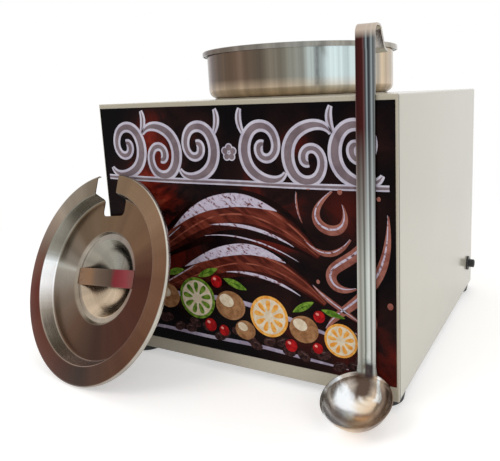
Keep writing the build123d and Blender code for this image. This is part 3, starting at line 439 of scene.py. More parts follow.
def inkMaterial(name, grain, stops, lean=0.0, stretch=1):
    material, shader = startMaterial(name, 0.0, *printSettings["shine"])
    place = objectPlace(shader, scale=(stretch, 1, 1), rotation=(0, lean, 0))
    colour = toneRamp(noiseOn(place, grain, 5.0, 0.6, 0.5), stops)
    finishShader(shader, colour, noiseOn(place, 700, 2.0), printSettings["rough"])
    return material


inkSettings = {  # scale of the wash, its tones, lean and stretch
    "scrollFill": (60, ((0.4, 112, 98, 104), (0.6, 130, 116, 122))),
    "scrollEdge": (60, ((0.4, 186, 180, 198), (0.6, 204, 200, 214))),
    "deep": (90, ((0.35, 9, 4, 5), (0.65, 30, 10, 9))),
    "dark": (120, ((0.4, 36, 13, 11), (0.6, 66, 24, 18)), 0.5, 3),
    "brown": (160, ((0.42, 72, 27, 20), (0.58, 112, 50, 38)), 0.5, 4),
    "warm": (200, ((0.42, 110, 50, 38), (0.58, 152, 84, 68)), 0.5, 4),
    "shine": (420, ((0.38, 96, 50, 44), (0.42, 160, 138, 150), (0.46, 190, 180, 200), (0.7, 206, 200, 216)), 0.5, 2),
    "drizzle": (90, ((0.4, 128, 74, 64), (0.6, 160, 104, 92))),
    "outline": (70, ((0.4, 150, 138, 160), (0.6, 186, 178, 198))),
    "bean": (320, ((0.4, 34, 20, 20), (0.6, 70, 46, 44))),
    "beanShine": (320, ((0.4, 92, 70, 70), (0.6, 126, 102, 102))),
    "leaf": (220, ((0.4, 66, 104, 26), (0.6, 128, 160, 60))),
    "leafDark": (220, ((0.4, 30, 58, 16), (0.6, 56, 92, 28))),
    "berry": (200, ((0.4, 132, 14, 20), (0.6, 186, 30, 32))),
    "berryShine": (200, ((0.4, 224, 120, 112), (0.6, 240, 168, 156))),
    "citrus": (260, ((0.4, 226, 146, 54), (0.6, 240, 184, 96))),
    "cream": (180, ((0.4, 214, 196, 168), (0.6, 232, 220, 198))),
    "nut": (180, ((0.4, 134, 92, 60), (0.6, 170, 126, 88))),
}
finishes["printedFilm"] = filmMaterial()
inks = {name: inkMaterial("ink" + name.capitalize(), *values) for name, values in inkSettings.items()}
print("plain finishes:", len(finishes), "inks:", len(inks))


def inkStroke(points, layer, ink, smooth=10):  # points are across, up and width
    data = added(bpy.ops.curve.primitive_nurbs_path_add).data
    data.splines.remove(data.splines[0])
    spline = data.splines.new('NURBS')
    spline.points.add(len(points) - 1)
    for point, (x, z, width) in zip(spline.points, points):
        point.co = (x * mm, 0, z * mm, 1)
        point.radius = width
    spline.order_u = min(4, len(points))
    spline.use_endpoint_u = True
    spline.resolution_u = smooth
    data.dimensions = '3D'
    data.bevel_depth = 0.5 * mm
    data.bevel_resolution = 2
    data.use_fill_caps = True
    bpy.ops.object.convert(target='MESH')
    piece = bpy.context.object
    stand = printSettings["layer"] * layer * mm
    for vertex in piece.data.vertices:
        vertex.co.y = max(-stand, min(stand, vertex.co.y))
    piece.location = (0, faceOfPrint * mm, 0)
    applyPlace(piece)
    startEdit()
    bpy.ops.mesh.remove_doubles(threshold=0.000002)
    bpy.ops.mesh.normals_make_consistent(inside=False)
    endEdit()
    paint(piece, inks[ink])
    return piece


def inkDisc(x, z, wide, high, layer, ink, lean=0):
    depth = printSettings["layer"] * layer
    piece = added(bpy.ops.mesh.primitive_cylinder_add, vertices=36, radius=1, depth=1)
    piece.matrix_world = (Matrix.Translation(metres(x, faceOfPrint - depth / 2, z))
                          @ Matrix.Rotation(math.radians(lean), 4, 'Y') @ Matrix.Rotation(math.radians(90), 4, 'X')
                          @ Matrix.Diagonal((wide / 2 * mm, high / 2 * mm, depth * mm, 1)))
    applyPlace(piece)
    paint(piece, inks[ink])
    return piece


scrollSettings = {
    "unit": 39.0,  # width of one wave of the border
    "rise": 44.0, "base": 174.0, "edge": 3.4,
    "starts": [-130, -91, -52],  # the left half, mirrored to the right
    "shape": [  # across, up and stroke width of one wave, as shares of the unit
        (0.02, 0.16, 0.3), (0.10, 0.02, 3.0), (0.45, -0.04, 6.0), (0.92, 0.20, 8.0), (1.00, 0.66, 8.0),
        (0.74, 1.02, 6.5), (0.30, 0.98, 5.5), (0.16, 0.60, 4.6), (0.36, 0.36, 4.2), (0.66, 0.44, 4.4),
        (0.62, 0.68, 5.6), (0.50, 0.66, 3.0),
    ],
    "leaf": [(0.98, 0.86, 0.3), (1.12, 1.10, 4.5), (1.02, 1.30, 0.3)],
    "line": [(-134, 172, 2.6), (-66, 170.5, 2.6), (0, 172, 2.6), (66, 170.5, 2.6), (134, 172, 2.6)],
    "flower": (0, 196, 4.0, 5.0),  # across, up, reach of the petals, size of one
    "petals": 5,
}


def scrollBand():
    s = scrollSettings
    strokes = []
    for extra, layer, ink in ((s["edge"], 6, "scrollEdge"), (0, 8, "scrollFill")):
        for side in (-1, 1):
            for number, start in enumerate(s["starts"]):
                hanging = number % 2 == 1  # every second wave hangs and has no leaf
                for shape in (s["shape"],) if hanging else (s["shape"], s["leaf"]):
                    strokes.append(inkStroke([
                        (side * -(start + u * s["unit"]), s["base"] + (1 - v if hanging else v) * s["rise"], w + extra)
                        for u, v, w in shape], layer, ink))
        strokes.append(inkStroke([(x, z, w + extra * 0.6) for x, z, w in s["line"]], layer + 0.3, ink))
        across, up, reach, size = s["flower"]
        size += extra * 0.6
        for petal in range(s["petals"]):
            turn = math.radians(90 + petal * 360 / s["petals"])
            strokes.append(inkDisc(across + reach * math.cos(turn), up + reach * math.sin(turn), size, size,
                                   layer + petal * 0.1, ink))
    return strokes


ribbonSettings = {
    "folds": [  # spine of each fold of melted chocolate: across, up, width
        [(-104, 92, 4), (-72, 112, 20), (-36, 138, 34), (8, 150, 38), (48, 140, 28), (78, 116, 6)],
        [(-96, 66, 3), (-60, 78, 18), (-22, 98, 30), (18, 108, 32), (56, 98, 20), (82, 78, 5)],
    ],
    "tones": [  # share of the width, shift up as a share of the width, ink
        (1.16, 0.0, "deep"), (1.0, 0.02, "dark"), (0.74, 0.08, "brown"), (0.5, 0.16, "warm"), (0.34, 0.14, "brown"),
    ],
    "shines": [
        [(-64, 128, 0.5), (-42, 146, 10), (-12, 157, 15), (18, 158, 13), (42, 150, 0.5)],
        [(-54, 94, 0.5), (-30, 106, 9), (-2, 116, 12), (26, 117, 10), (48, 108, 0.5)],
        [(-24, 134, 0.4), (6, 139, 4.5), (34, 133, 4), (56, 122, 0.4)],
        [(-10, 94, 0.4), (16, 98, 4), (42, 92, 3.5), (60, 82, 0.4)],
        [(-30, 124, 0.3), (2, 130, 1.6), (34, 123, 1.6), (60, 110, 0.3)],
        [(-90, 104, 0.4), (-74, 117, 2.4), (-56, 130, 0.4)],
        [(-78, 76, 0.4), (-60, 86, 2.2), (-44, 96, 0.4)],
    ],
    "drizzles": [
        [(90, 168, 1), (68, 152, 7), (84, 130, 9), (104, 142, 7), (98, 158, 1)],
        [(114, 162, 1), (124, 138, 8), (106, 116, 10), (80, 106, 9), (92, 88, 8), (108, 94, 1)],
        [(133, 152, 1), (134, 124, 7), (122, 98, 9), (104, 80, 8), (88, 68, 6), (82, 58, 1)],
        [(66, 128, 1), (80, 114, 6), (94, 118, 6), (104, 132, 1)],
        [(72, 92, 1), (84, 80, 6), (100, 74, 5), (112, 66, 1)],
        [(118, 82, 1), (128, 66, 4.5), (118, 54, 5), (106, 58, 1)],
        [(60, 166, 0.6), (58, 154, 3), (64, 142, 0.6)],
    ],
    "drops": [(96, 168, 4), (126, 164, 3), (70, 170, 3), (134, 84, 4.5), (76, 96, 3)],
    "trails": [  # pale lines under the sweets
        [(-134, 66, 1.5), (-100, 72, 4), (-58, 64, 5), (-14, 72, 4), (34, 64, 4.5), (70, 56, 4), (98, 50, 1.0)],
        [(-134, 30, 1.5), (-90, 34, 3.5), (-40, 30, 3), (12, 33, 3.5), (58, 29, 3), (84, 28, 2), (100, 27, 0.6)],
    ],
}


def ribbons():
    s = ribbonSettings
    pieces = [inkStroke([(x - w * lift * 0.5, z + w * lift, w * share) for x, z, w in fold],
                        1 + order * 0.5 + (1 - number) * 0.2, ink)
              for number, fold in enumerate(s["folds"]) for order, (share, lift, ink) in enumerate(s["tones"])]
    pieces += [inkStroke(points, 4.6, "shine") for points in s["shines"]]
    for points in s["drizzles"]:
        pieces += [inkStroke(points, 5, "drizzle"),
                   inkStroke([(x - 0.6, z + 0.7, w * 0.28) for x, z, w in points], 5.6, "shine")]
    pieces += [inkDisc(x, z, size, size * 1.15, 5, "drizzle") for x, z, size in s["drops"]]
    return pieces + [inkStroke(points, 5.4, "outline") for points in s["trails"]]


sweetSettings = {
    "beans": 24, "beanSize": (12.5, 8.2), "beanLean": (25, 1.3), "beanFall": 0.018,
    "beanAcross": (-128, 10.5, 3, 2.1), "beanUp": (40, 0, 4.5, 1.7),  # start, step, sway and its pace
    "slices": [(-43, 66, 38, "leaf"), (30, 60, 36, "citrus"), (94, 50, 28, "citrus")],  # across, up, size, flesh
    "petals": 9, "petalTurn": 12,
    "nuts": [(-8, 64, 30, 26), (6, 44, 20, 17), (62, 54, 26, 23), (-76, 64, 26, 23)],
    "berries": [(-30, 43, 12), (-16, 40, 10), (-21, 84, 11), (50, 38, 11), (76, 67, 10), (74, 40, 9)],
    "leaves": [(-30, 91, 24, 9, -24), (-2, 84, 24, 9, 18), (62, 73, 22, 8, -30), (88, 71, 20, 7, 12),
               (-66, 88, 22, 8, -16)],
}


def citrusSlice(x, z, size, flesh):
    pieces = [inkDisc(x, z, size, size, 12, flesh), inkDisc(x, z, size * 0.86, size * 0.86, 13, "cream")]
    inner, outer = size * 0.1, size * 0.38
    for petal in range(sweetSettings["petals"]):
        angle = math.radians(petal * 360 / sweetSettings["petals"] + sweetSettings["petalTurn"])
        pieces.append(inkStroke([(x + reach * math.cos(angle), z + reach * math.sin(angle), width)
                                 for reach, width in ((inner, 0.4), (outer * 0.8, size * 0.24), (outer, size * 0.2),
                                                      (outer * 1.04, 0.6))], 14, flesh, 5))
    return pieces


def beanRow():
    s = sweetSettings
    wide, high = s["beanSize"]
    reach = wide * 0.36
    pieces = []
    for k in range(s["beans"]):
        x, z = (start + step * k + sway * math.sin(k * pace)
                for start, step, sway, pace in (s["beanAcross"], s["beanUp"]))
        z -= s["beanFall"] * k ** 2
        lean = s["beanLean"][0] * math.sin(k * s["beanLean"][1])
        across, up = math.cos(math.radians(lean)), math.sin(math.radians(lean))
        base = 7 + (k % 3) * 0.6
        pieces.append(inkDisc(x, z, wide, high, base, "bean", -lean))
        for shift, ink, middle in ((0, "deep", 1.1), (high * 0.24, "beanShine", 1.0)):
            pieces.append(inkStroke([
                (x + along * across - shift * up, z + along * up + shift * across * bulge, width)
                for along, bulge, width in ((-reach, 1, 0.2), (0, 1.2, middle), (reach, 1, 0.2))],
                base + 0.3, ink, 5))
    return pieces


def sweets():
    s = sweetSettings
    pieces = beanRow()
    for values in s["slices"]:
        pieces += citrusSlice(*values)
    for x, z, wide, high in s["nuts"]:
        pieces += [inkDisc(x, z, wide, high, 10, "nut"),
                   inkDisc(x - wide * 0.12, z + high * 0.16, wide * 0.5, high * 0.42, 10.6, "cream", 20)]
    for x, z, size in s["berries"]:
        pieces += [inkDisc(x, z, size, size, 12, "berry"),
                   inkDisc(x - size * 0.16, z + size * 0.2, size * 0.3, size * 0.22, 12.6, "berryShine", 20)]
    for x, z, wide, high, lean in s["leaves"]:
        across, up = math.cos(math.radians(lean)), -math.sin(math.radians(lean))
        blade = [(x + along * across, z + along * up, width)
                 for along, width in ((-wide / 2, 0.4), (-wide / 6, high), (wide / 6, high), (wide / 2, 0.4))]
        pieces += [inkStroke(blade, 11, "leaf"),
                   inkStroke([(a, b, w * 0.12) for a, b, w in blade], 11.6, "leafDark")]
    return pieces


picture = joinPieces(scrollBand() + ribbons() + sweets(), "frontPicture")
smoothPiece(picture, 30)
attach(picture, "case")
print("front picture done")

# lid: spun sheet with a slot, leaning on the case

lidSettings = {
    "radius": 94.3, "lip": 3.8, "sheet": 0.8, "turn": 8.3, "tilt": 22.7, "roll": 6.6, "across": -128.4,
    "segments": 144, "notchWidth": 30.0, "notchDepth": 37.5, "notchRound": 4.5, "cutterSpare": 40.0,
    "profile": [(0, -29, 0), (22, -29, 22), (35.6, -16, 2.0), (40.2, -16, 0.75), (42.2, -12.6, 0.75),
                (73, -12.6, 2.5), (77, 0, 1.5), (94.3, 0, 2.6), (94.3, -3.8, 0)],
}
lidSteel = {
    "lines": "radius", "lineScale": 2600, "lineDepth": 0.14, "rough": (0.16, 0.3), "bump": 0.1,
    "streakScale": 2.6, "streakDepth": 0.16, "wobble": 0.08,
    "zones": [  # edge radius, softness, painted reflection tones by degree: cup, ring, floor, step, flange, lip
        (0, 0, ((-150, 190, 170, 146), (-90, 214, 192, 164), (-40, 160, 136, 112), (0, 96, 78, 64),
            (50, 120, 112, 102), (100, 150, 148, 138), (150, 146, 140, 128))),
        (36, 0.6, ((-150, 150, 136, 120), (-90, 176, 164, 148), (0, 120, 92, 82), (90, 150, 142, 132),
            (150, 160, 152, 140))),
        (42, 0.6, ((-160, 122, 106, 92), (-125, 98, 72, 56), (-90, 68, 46, 36), (-45, 78, 44, 32), (0, 74, 38, 26),
            (40, 110, 82, 60), (90, 112, 88, 66), (140, 104, 86, 68), (166, 140, 130, 118), (176, 172, 168, 158))),
        (72.8, 0.3, ((-172, 255, 255, 255), (-156, 180, 170, 156), (-120, 132, 118, 104), (-80, 176, 148, 134),
            (-40, 130, 104, 90), (0, 160, 142, 126), (60, 132, 112, 92), (120, 124, 122, 112), (160, 150, 148, 138),
            (174, 248, 254, 255))),
        (77.4, 0.4, ((-170, 94, 38, 24), (-130, 96, 54, 40), (-90, 66, 52, 46), (-45, 94, 62, 46), (0, 116, 82, 62),
            (45, 136, 108, 84), (75, 126, 102, 78), (110, 118, 106, 90), (138, 156, 142, 126), (165, 108, 76, 60))),
        (93.2, 0.3, ((-150, 120, 96, 84), (-90, 140, 124, 112), (-20, 190, 186, 176), (30, 214, 208, 196),
            (100, 150, 134, 112), (160, 126, 104, 90))),
    ],
}


def lidMatrix():  # the lid stands on its lip and touches the case with the slot's right corner
    s = lidSettings
    turn, tilt, roll = (math.radians(s[key]) for key in ("turn", "tilt", "roll"))
    out = Vector((-math.sin(turn) * math.cos(tilt), -math.cos(turn) * math.cos(tilt), math.sin(tilt)))
    right = Vector((math.cos(turn), -math.sin(turn), 0))
    up = out.cross(right)
    notchRight = right * math.cos(roll) + up * math.sin(roll)
    notchUp = up * math.cos(roll) - right * math.sin(roll)
    half = s["notchWidth"] / 2
    corner = (notchRight * half + notchUp * math.sqrt(s["radius"] ** 2 - half ** 2) - out * s["lip"])
    return axesAt(notchRight, notchUp, out, Vector((s["across"], faceOfPrint - leanGap - corner.y,
                                                    s["radius"] * up.z + s["lip"] * out.z)) * mm)


lidPlace = lidMatrix()
lidFrame = {"centre": tuple(lidPlace.translation), "rotation": tuple(lidPlace.to_euler())}


def buildLid():
    s = lidSettings
    lid = spunShell("lidSheet", s["profile"], s["segments"], s["sheet"], True)
    spare = s["cutterSpare"]
    cutter = addBlock((s["notchWidth"], s["notchDepth"] + spare, 2 * spare),
                      (0, s["radius"] - s["notchDepth"] / 2 + spare / 2, 0))
    roundEdges(cutter, s["notchRound"], 6,
               lambda a, b: abs(a.z - b.z) > spare * mm and max(a.y, b.y) < s["radius"] * mm)
    applyModifier(lid, 'BOOLEAN', operation='DIFFERENCE', object=cutter, solver='EXACT')
    bpy.data.objects.remove(cutter)
    settle(lid, lidPlace, "lid", turnedMetal("spunLidSteel", {**lidFrame, **lidSteel}), "lid_shell")


strapSettings = {
    "length": 78.0, "width": 16.0, "thickness": 1.5, "shelf": -16.0, "corner": 2.5, "edge": 0.35,
    "welds": (34.5, 4), "weldRadius": 1.6, "weldSink": 0.05, "weldHeight": 0.22,
    "span": (-40, 40), "sway": 0.12, "rough": (0.14, 0.26),
    # painted reflections and a painted highlight along the strap, left end to right end
    "tones": [(0.0, 128, 98, 74), (0.22, 134, 100, 72), (0.36, 104, 86, 72), (0.6, 82, 66, 56), (0.68, 120, 44, 50),
              (0.86, 136, 62, 66), (1.0, 116, 78, 72)],
}


def strapMaterial():
    s = strapSettings
    material, shader = startMaterial("strapSteel", 1.0, 0.2)
    place = objectPlace(shader, lidFrame["centre"], lidFrame["rotation"])
    across = rangeOn(splitOn(place)["X"], 0.0, 1.0, *metres(*s["span"]))
    value = swayed(across, noiseOn(place, 60, 2.0), s["sway"])
    brushed = objectPlace(shader, lidFrame["centre"], lidFrame["rotation"], (1, 0.02, 1))
    finishShader(shader, toneRamp(value, s["tones"]), noiseOn(brushed, 120, 4.0), s["rough"], 0.06)
    return material


def buildStrap():
    s = strapSettings
    strap = addBlock((s["length"], s["width"], s["thickness"]), (0, 0, s["shelf"] + s["thickness"] / 2))
    roundEdges(strap, s["corner"], 5, lambda a, b: abs(a.z - b.z) > mm)
    bevelPiece(strap, s["edge"], angle=50)
    parts = [strap]
    across, along = s["welds"]
    for x in (-across, across):
        for y in (-along, along):
            weld = added(bpy.ops.mesh.primitive_uv_sphere_add, segments=20, ring_count=10,
                         radius=s["weldRadius"] * mm,
                         location=metres(x, y, s["shelf"] + s["thickness"] - s["weldSink"]))
            weld.scale = (1, 1, s["weldHeight"])
            applyPlace(weld)
            parts.append(weld)
    settle(joinPieces(parts, "lidStrap"), lidPlace, "lid", strapMaterial(), "lid_handle")


buildLid()
buildStrap()
print("lid done")

# well collar and inset pot: spun shells round the well's axis

wellSettings = {
    "centre": (0, -16, 0), "sheet": 1.0, "segments": 128, "floor": 91,
    "well": [(0, 91, 0), (80, 91, 10), (80, 239, 1.5), (91, 239, 8), (91, 281, 1.2), (93.8, 281, 0)],
    "pot": [(0, 104, 0), (75, 104, 12), (75, 253, 3), (80, 259, 3), (80, 282, 1.5), (94.3, 282, 0.5),
            (94.3, 278.5, 0)],
    "studRadius": 3.0, "studLength": 22.0, "studEdge": 0.6,
}
collarSteel = {
    "centre": metres(*wellSettings["centre"]), "rotation": (0, 0, 0), "lines": "height", "lineScale": 1500,
    "lineDepth": 0.05, "rough": (0.14, 0.22), "bump": 0.05, "streakScale": 9.0, "streakDepth": 0.34, "wobble": 0.035,
    "zones": [  # painted reflection tones by degree: pot inside, then the collar's wall, then the rolled rim
        (0, 0, ((-140, 214, 214, 212), (-90, 234, 236, 236), (-30, 212, 210, 206), (30, 238, 240, 240),
            (100, 218, 218, 216), (150, 230, 232, 232))),
        (81, 0.5, ((-170, 150, 142, 128), (-152, 86, 90, 80), (-142, 104, 102, 90), (-134, 84, 52, 40),
            (-118, 84, 68, 54), (-100, 112, 92, 78), (-88, 96, 84, 72), (-74, 118, 112, 100), (-62, 140, 142, 134),
            (-52, 192, 206, 206), (-36, 206, 222, 224), (-26, 188, 196, 194), (-8, 196, 176, 148),
            (20, 150, 132, 110), (60, 190, 192, 188), (110, 120, 106, 92), (150, 196, 198, 194))),
        (91.6, 0.3, ((-150, 62, 42, 32), (-128, 84, 66, 54), (-105, 118, 108, 98), (-60, 140, 140, 134),
            (0, 162, 154, 142), (90, 140, 136, 128))),
    ],
    # a painted warm reflection of the case top at the foot of the collar
    "paintedFootReflection": (243, 255, 0.75, (204, 180, 152)),
    "lined": (-0.6, -0.3),
}
wellPlace = Matrix.Translation(Vector(wellSettings["centre"]) * mm)


def buildWell():
    s = wellSettings
    well = spunShell("wellShell", s["well"], s["segments"], s["sheet"], False)
    stud = added(bpy.ops.mesh.primitive_cylinder_add, vertices=32, radius=s["studRadius"] * mm,
                 depth=s["studLength"] * mm, location=(0, 0, (s["floor"] - s["studLength"] / 2) * mm))
    bevelPiece(stud, s["studEdge"])
    applyPlace(stud)
    well = joinPieces([well, stud], "wellShell")
    settle(well, wellPlace, "case", turnedMetal("collarSteel", collarSteel), "water_well")


def buildPot():
    s = wellSettings
    pot = spunShell("insetPot", s["pot"], s["segments"], s["sheet"], False)
    settle(pot, wellPlace, "pot", turnedMetal("potSteel", {**collarSteel, "paintedFootReflection": None}), "inset_pot")


buildWell()
buildPot()
print("well and pot done")

# ladle: spun bowl and a grooved strip handle with a hook

ladleSettings = {
    "centre": (116.2, -176.8), "rimRadius": 25.8, "depth": 19.0, "lip": 1.2, "tilt": 18.5, "sheet": 1.0,
    "bowlSteps": 24, "segments": 96, "bowlEdge": 0.35,
    "stripWidth": 14.5, "stripThickness": 1.8, "stripEdge": 0.45, "columns": 14, "pitch": 3,
    "root": 2.4, "flare": 1.6, "flareLength": 12.0, "top": 286.5, "leanRight": 0.4,
    "dimple": (0.8, 6, 5, 4),  # depth, height of its middle, half height, half width
    "hook": [(0, 0, 5), (11, 0, 5), (20, -15, 3), (27, -17, 0)],  # back, up from the top, radius
    "grooveSteps": (3.7, 2.5), "grooveDepth": 0.7, "grooveMargin": 16.0,
    "caseTop": 238.0,
}


def buildBowl(place, sphere):
    s = ladleSettings
    reach = math.asin(s["rimRadius"] / sphere)
    if s["depth"] >= sphere:
        reach = math.pi - reach
    angles = [reach * k / s["bowlSteps"] for k in range(s["bowlSteps"] + 1)]
    profile = [(sphere * math.sin(angle), sphere - s["depth"] - sphere * math.cos(angle), 0) for angle in angles]
    profile += [(s["rimRadius"] + s["lip"] * 0.6, s["lip"] * 0.5, 0), (s["rimRadius"] + s["lip"], s["lip"], 0)]
    bowl = spunShell("ladleBowl", profile, s["segments"], s["sheet"], False, 1)
    bevelPiece(bowl, s["bowlEdge"], angle=50)
    moveTo(bowl, place)
    return bowl


def buildStrip(length):  # the mesh's x is back, y is side, z is up along the strip
    s = ladleSettings
    path = roundedPath([(0, -s["root"], 0), *((back, length + up, turn) for back, up, turn in s["hook"])], 8)
    dense = [path[0]]
    for a, b in zip(path, path[1:]):
        count = max(1, int((b - a).length / s["pitch"]))
        dense += [a + (b - a) * (k / count) for k in range(1, count + 1)]
    # a plane stands for the strip's foot, its far edge is extruded along the path
    strip = added(bpy.ops.mesh.primitive_grid_add, x_subdivisions=s["columns"], y_subdivisions=1, size=1)
    for vertex in strip.data.vertices:
        step = dense[0] if vertex.co.y < 0 else dense[1]
        vertex.co = Vector((step.x * mm, vertex.co.x * s["stripWidth"] * mm, step.y * mm))
    selectEdges(strip, lambda *ends: all(abs(end.z - dense[1].y * mm) < 1e-6 for end in ends))
    for a, b in zip(dense[1:], dense[2:]):
        bpy.ops.mesh.extrude_edges_move(TRANSFORM_OT_translate={"value": ((b.x - a.x) * mm, 0, (b.y - a.y) * mm)})
    bpy.ops.mesh.select_mode(type='VERT')
    for width in s["grooveSteps"]:  # press the groove into the front
        bpy.ops.mesh.select_all(action='DESELECT')
        endEdit()
        for vertex in strip.data.vertices:
            inside = s["grooveMargin"] * mm < vertex.co.z < (length - s["grooveMargin"]) * mm
            vertex.select = inside and abs(vertex.co.y) < width * mm and vertex.co.x < 0.5 * mm
        bpy.ops.object.mode_set(mode='EDIT')
        bpy.ops.transform.translate(value=(s["grooveDepth"] / 2 * mm, 0, 0))
    endEdit()
    depth, middle, halfHeight, halfWidth = s["dimple"]
    for vertex in strip.data.vertices:  # the foot flares to meet the bowl and carries a dimple
        near = min(1, max(0, 1 - vertex.co.z / mm / s["flareLength"]))
        vertex.co.y *= 1 + 2 * s["flare"] / s["stripWidth"] * near ** 2
        if vertex.co.x < 0.0005:
            close = (max(0, 1 - ((vertex.co.z / mm - middle) / halfHeight) ** 2)
                     * max(0, 1 - (vertex.co.y / mm / halfWidth) ** 2))
            vertex.co.x += depth * close * mm
    if sum(face.normal.x for face in strip.data.polygons if abs(face.center.x) < mm) > 0:
        flipFaces()  # so that the thickness goes to the front
    applyModifier(strip, 'SOLIDIFY', thickness=s["stripThickness"] * mm, offset=1, use_even_offset=True)
    bevelPiece(strip, s["stripEdge"], angle=50)
    return strip


# the ladle's colours are painted reflection bands on the strip and bowl, painted highlights at the bend, hook and
# glint, a dark painted reflection, and painted shade at the brow, near the rim and in the dimple
ladleTones = {
    "upper": ((0.0, 130, 96, 92), (0.06, 52, 24, 24), (0.36, 66, 30, 28), (0.44, 100, 74, 74), (0.5, 48, 50, 52),
              (0.58, 146, 154, 158), (0.64, 46, 50, 52), (0.74, 70, 74, 76), (0.83, 150, 158, 160),
              (0.91, 74, 78, 80), (1.0, 130, 132, 130)),
    "lower": ((0.0, 176, 176, 168), (0.14, 128, 126, 118), (0.28, 168, 170, 162), (0.36, 92, 96, 88),
              (0.46, 182, 188, 182), (0.60, 204, 208, 204), (0.68, 104, 108, 102), (0.80, 192, 194, 190),
              (1.0, 150, 150, 146)),
    "bowl": ((0.0, 140, 134, 126), (0.12, 196, 200, 202), (0.2, 248, 251, 253), (0.32, 250, 251, 252),
             (0.42, 238, 222, 200), (0.6, 226, 200, 170), (0.74, 170, 146, 126), (0.86, 116, 96, 82),
             (1.0, 136, 120, 106)),
    "bendHighlight": (206, 190, 174), "hook": (204, 198, 190), "shade": (120, 104, 90), "shadedBrow": (178, 164, 150),
    "dark": (84, 66, 56), "glint": (246, 246, 242), "dimple": (64, 52, 52),
}
ladlePatches = {  # each the product of fades: along what, the two strengths, the two places
    "top": [("up", 0.0, 1.0, 110, 215)],
    "bendHighlight": [("up", 0.0, 0.85, 276, 282)],
    "hook": [("back", 0.0, 0.75, 3, 6)],
    "shadedBrow": [("drifted", 0.0, 0.85, -10.5, -7.5), ("aside", 1.0, 0.2, 4, 8)],
    "dark": [("drifted", 0.0, 0.95, -13.5, -8.5), ("aside", 0.0, 1.0, -13, -7), ("aside", 1.0, 0.0, 1, 6)],
    "glint": [("fromGlint", 0.9, 0.0, 0.8, 2.4), ("drifted", 0.0, 1.0, -13.5, -10)],
    "shade": [("back", 0.55, 0.0, -54, -44)],
    "strip": [("up", 0.0, 1.0, 27.5, 30)],
    "dimple": [("fromDimple", 0.95, 0.0, 2.2, 4.2), ("overDimple", 1.0, 0.0, 4.5, 7.5), ("back", 0.0, 1.0, -5.5, -4)],
}
ladleMarks = {"span": (-6.0, 8.5), "bowlSpan": (-27, 27), "drift": 12, "glint": 9.5, "dimple": (1.8, 31.5)}


def ladleMaterial():
    marks = ladleMarks
    material, shader = startMaterial("ladleSteel", 1.0, 0.14)
    x, y, z = splitOn(objectPlace(shader, metres(ladleSettings["centre"][0], faceOfPrint, 0)))
    sway = noiseOn(objectPlace(shader, scale=(1, 1, 14)), 26, 2.0, 0.5, 0.3)
    blotches = noiseOn(objectPlace(shader), 60, 3.0, 0.5, 1.0)

    def away(value, place):
        return mathOn('ABSOLUTE', mathOn('SUBTRACT', value, place * mm))

    aside = swayed(x, blotches, -marks["drift"] * mm)
    places = {"back": y, "up": z, "drifted": swayed(y, blotches, marks["drift"] * mm), "aside": aside,
              "fromGlint": away(aside, marks["glint"]), "fromDimple": away(x, marks["dimple"][0]),
              "overDimple": away(z, marks["dimple"][1])}

    def patch(name):
        fades = [rangeOn(places[along], low, high, *metres(start, end))
                 for along, low, high, start, end in ladlePatches[name]]
        share = fades[0]
        for fade in fades[1:]:
            share = mathOn('MULTIPLY', share, fade)
        return share

    # painted reflection bands across the strip, with painted highlights at the bend and the hook
    across = swayed(rangeOn(x, 0.0, 1.0, *metres(*marks["span"])), sway, 0.1)
    strip = mixColours(patch("top"), toneRamp(across, ladleTones["lower"]),
                       toneRamp(across, ladleTones["upper"]))
    for name in ("bendHighlight", "hook"):
        strip = mixColours(patch(name), strip, tone(*ladleTones[name]))
    # painted reflections across the bowl, with painted shade at the brow and near the rim, a dark painted reflection
    # and a painted glint
    across = swayed(rangeOn(x, 0.0, 1.0, *metres(*marks["bowlSpan"])), blotches, 0.35)
    bowl = toneRamp(across, ladleTones["bowl"])
    for name in ("shadedBrow", "dark", "glint", "shade"):
        bowl = mixColours(patch(name), bowl, tone(*ladleTones[name]))
    colour = mixColours(patch("strip"), bowl, strip)
    # painted shade in the dimple
    colour = mixColours(patch("dimple"), colour, tone(*ladleTones["dimple"]))
    scratch = noiseOn(objectPlace(shader, scale=(1, 1, 30)), 900, 3.0)
    finishShader(shader, colour, scratch, (0.17, 0.27), 0.03, 0.00005)
    return material


def buildLadle():
    s = ladleSettings
    sphere = (s["rimRadius"] ** 2 + s["depth"] ** 2) / (2 * s["depth"])
    tip = math.radians(s["tilt"])
    out = Vector((0, -math.sin(tip), math.cos(tip)))
    right = Vector((1, 0, 0))
    rim = axesAt(right, out.cross(right), out, Vector((*s["centre"], sphere - (sphere - s["depth"]) * out.z)) * mm)
    bowl = buildBowl(rim, sphere)
    foot = rim @ Vector((0, s["rimRadius"] * mm, 0)) / mm
    lean = (faceOfPrint - leanGap - foot.y) / (s["caseTop"] - foot.z)
    up = Vector((math.sin(math.radians(s["leanRight"])), lean, 1)).normalized()
    side = Vector((0, 1, 0)).cross(up).normalized()
    strip = buildStrip((s["top"] - foot.z) / up.z - s["stripThickness"])
    moveTo(strip, axesAt(up.cross(side), side, up, foot * mm))
    ladle = joinPieces([bowl, strip], "ladleSteel")
    smoothPiece(ladle)
    dress(ladle, "ladle", ladleMaterial(), "ladle")


buildLadle()
print("ladle done")

# rear controls: ribbed knob, dial figures, switch marks

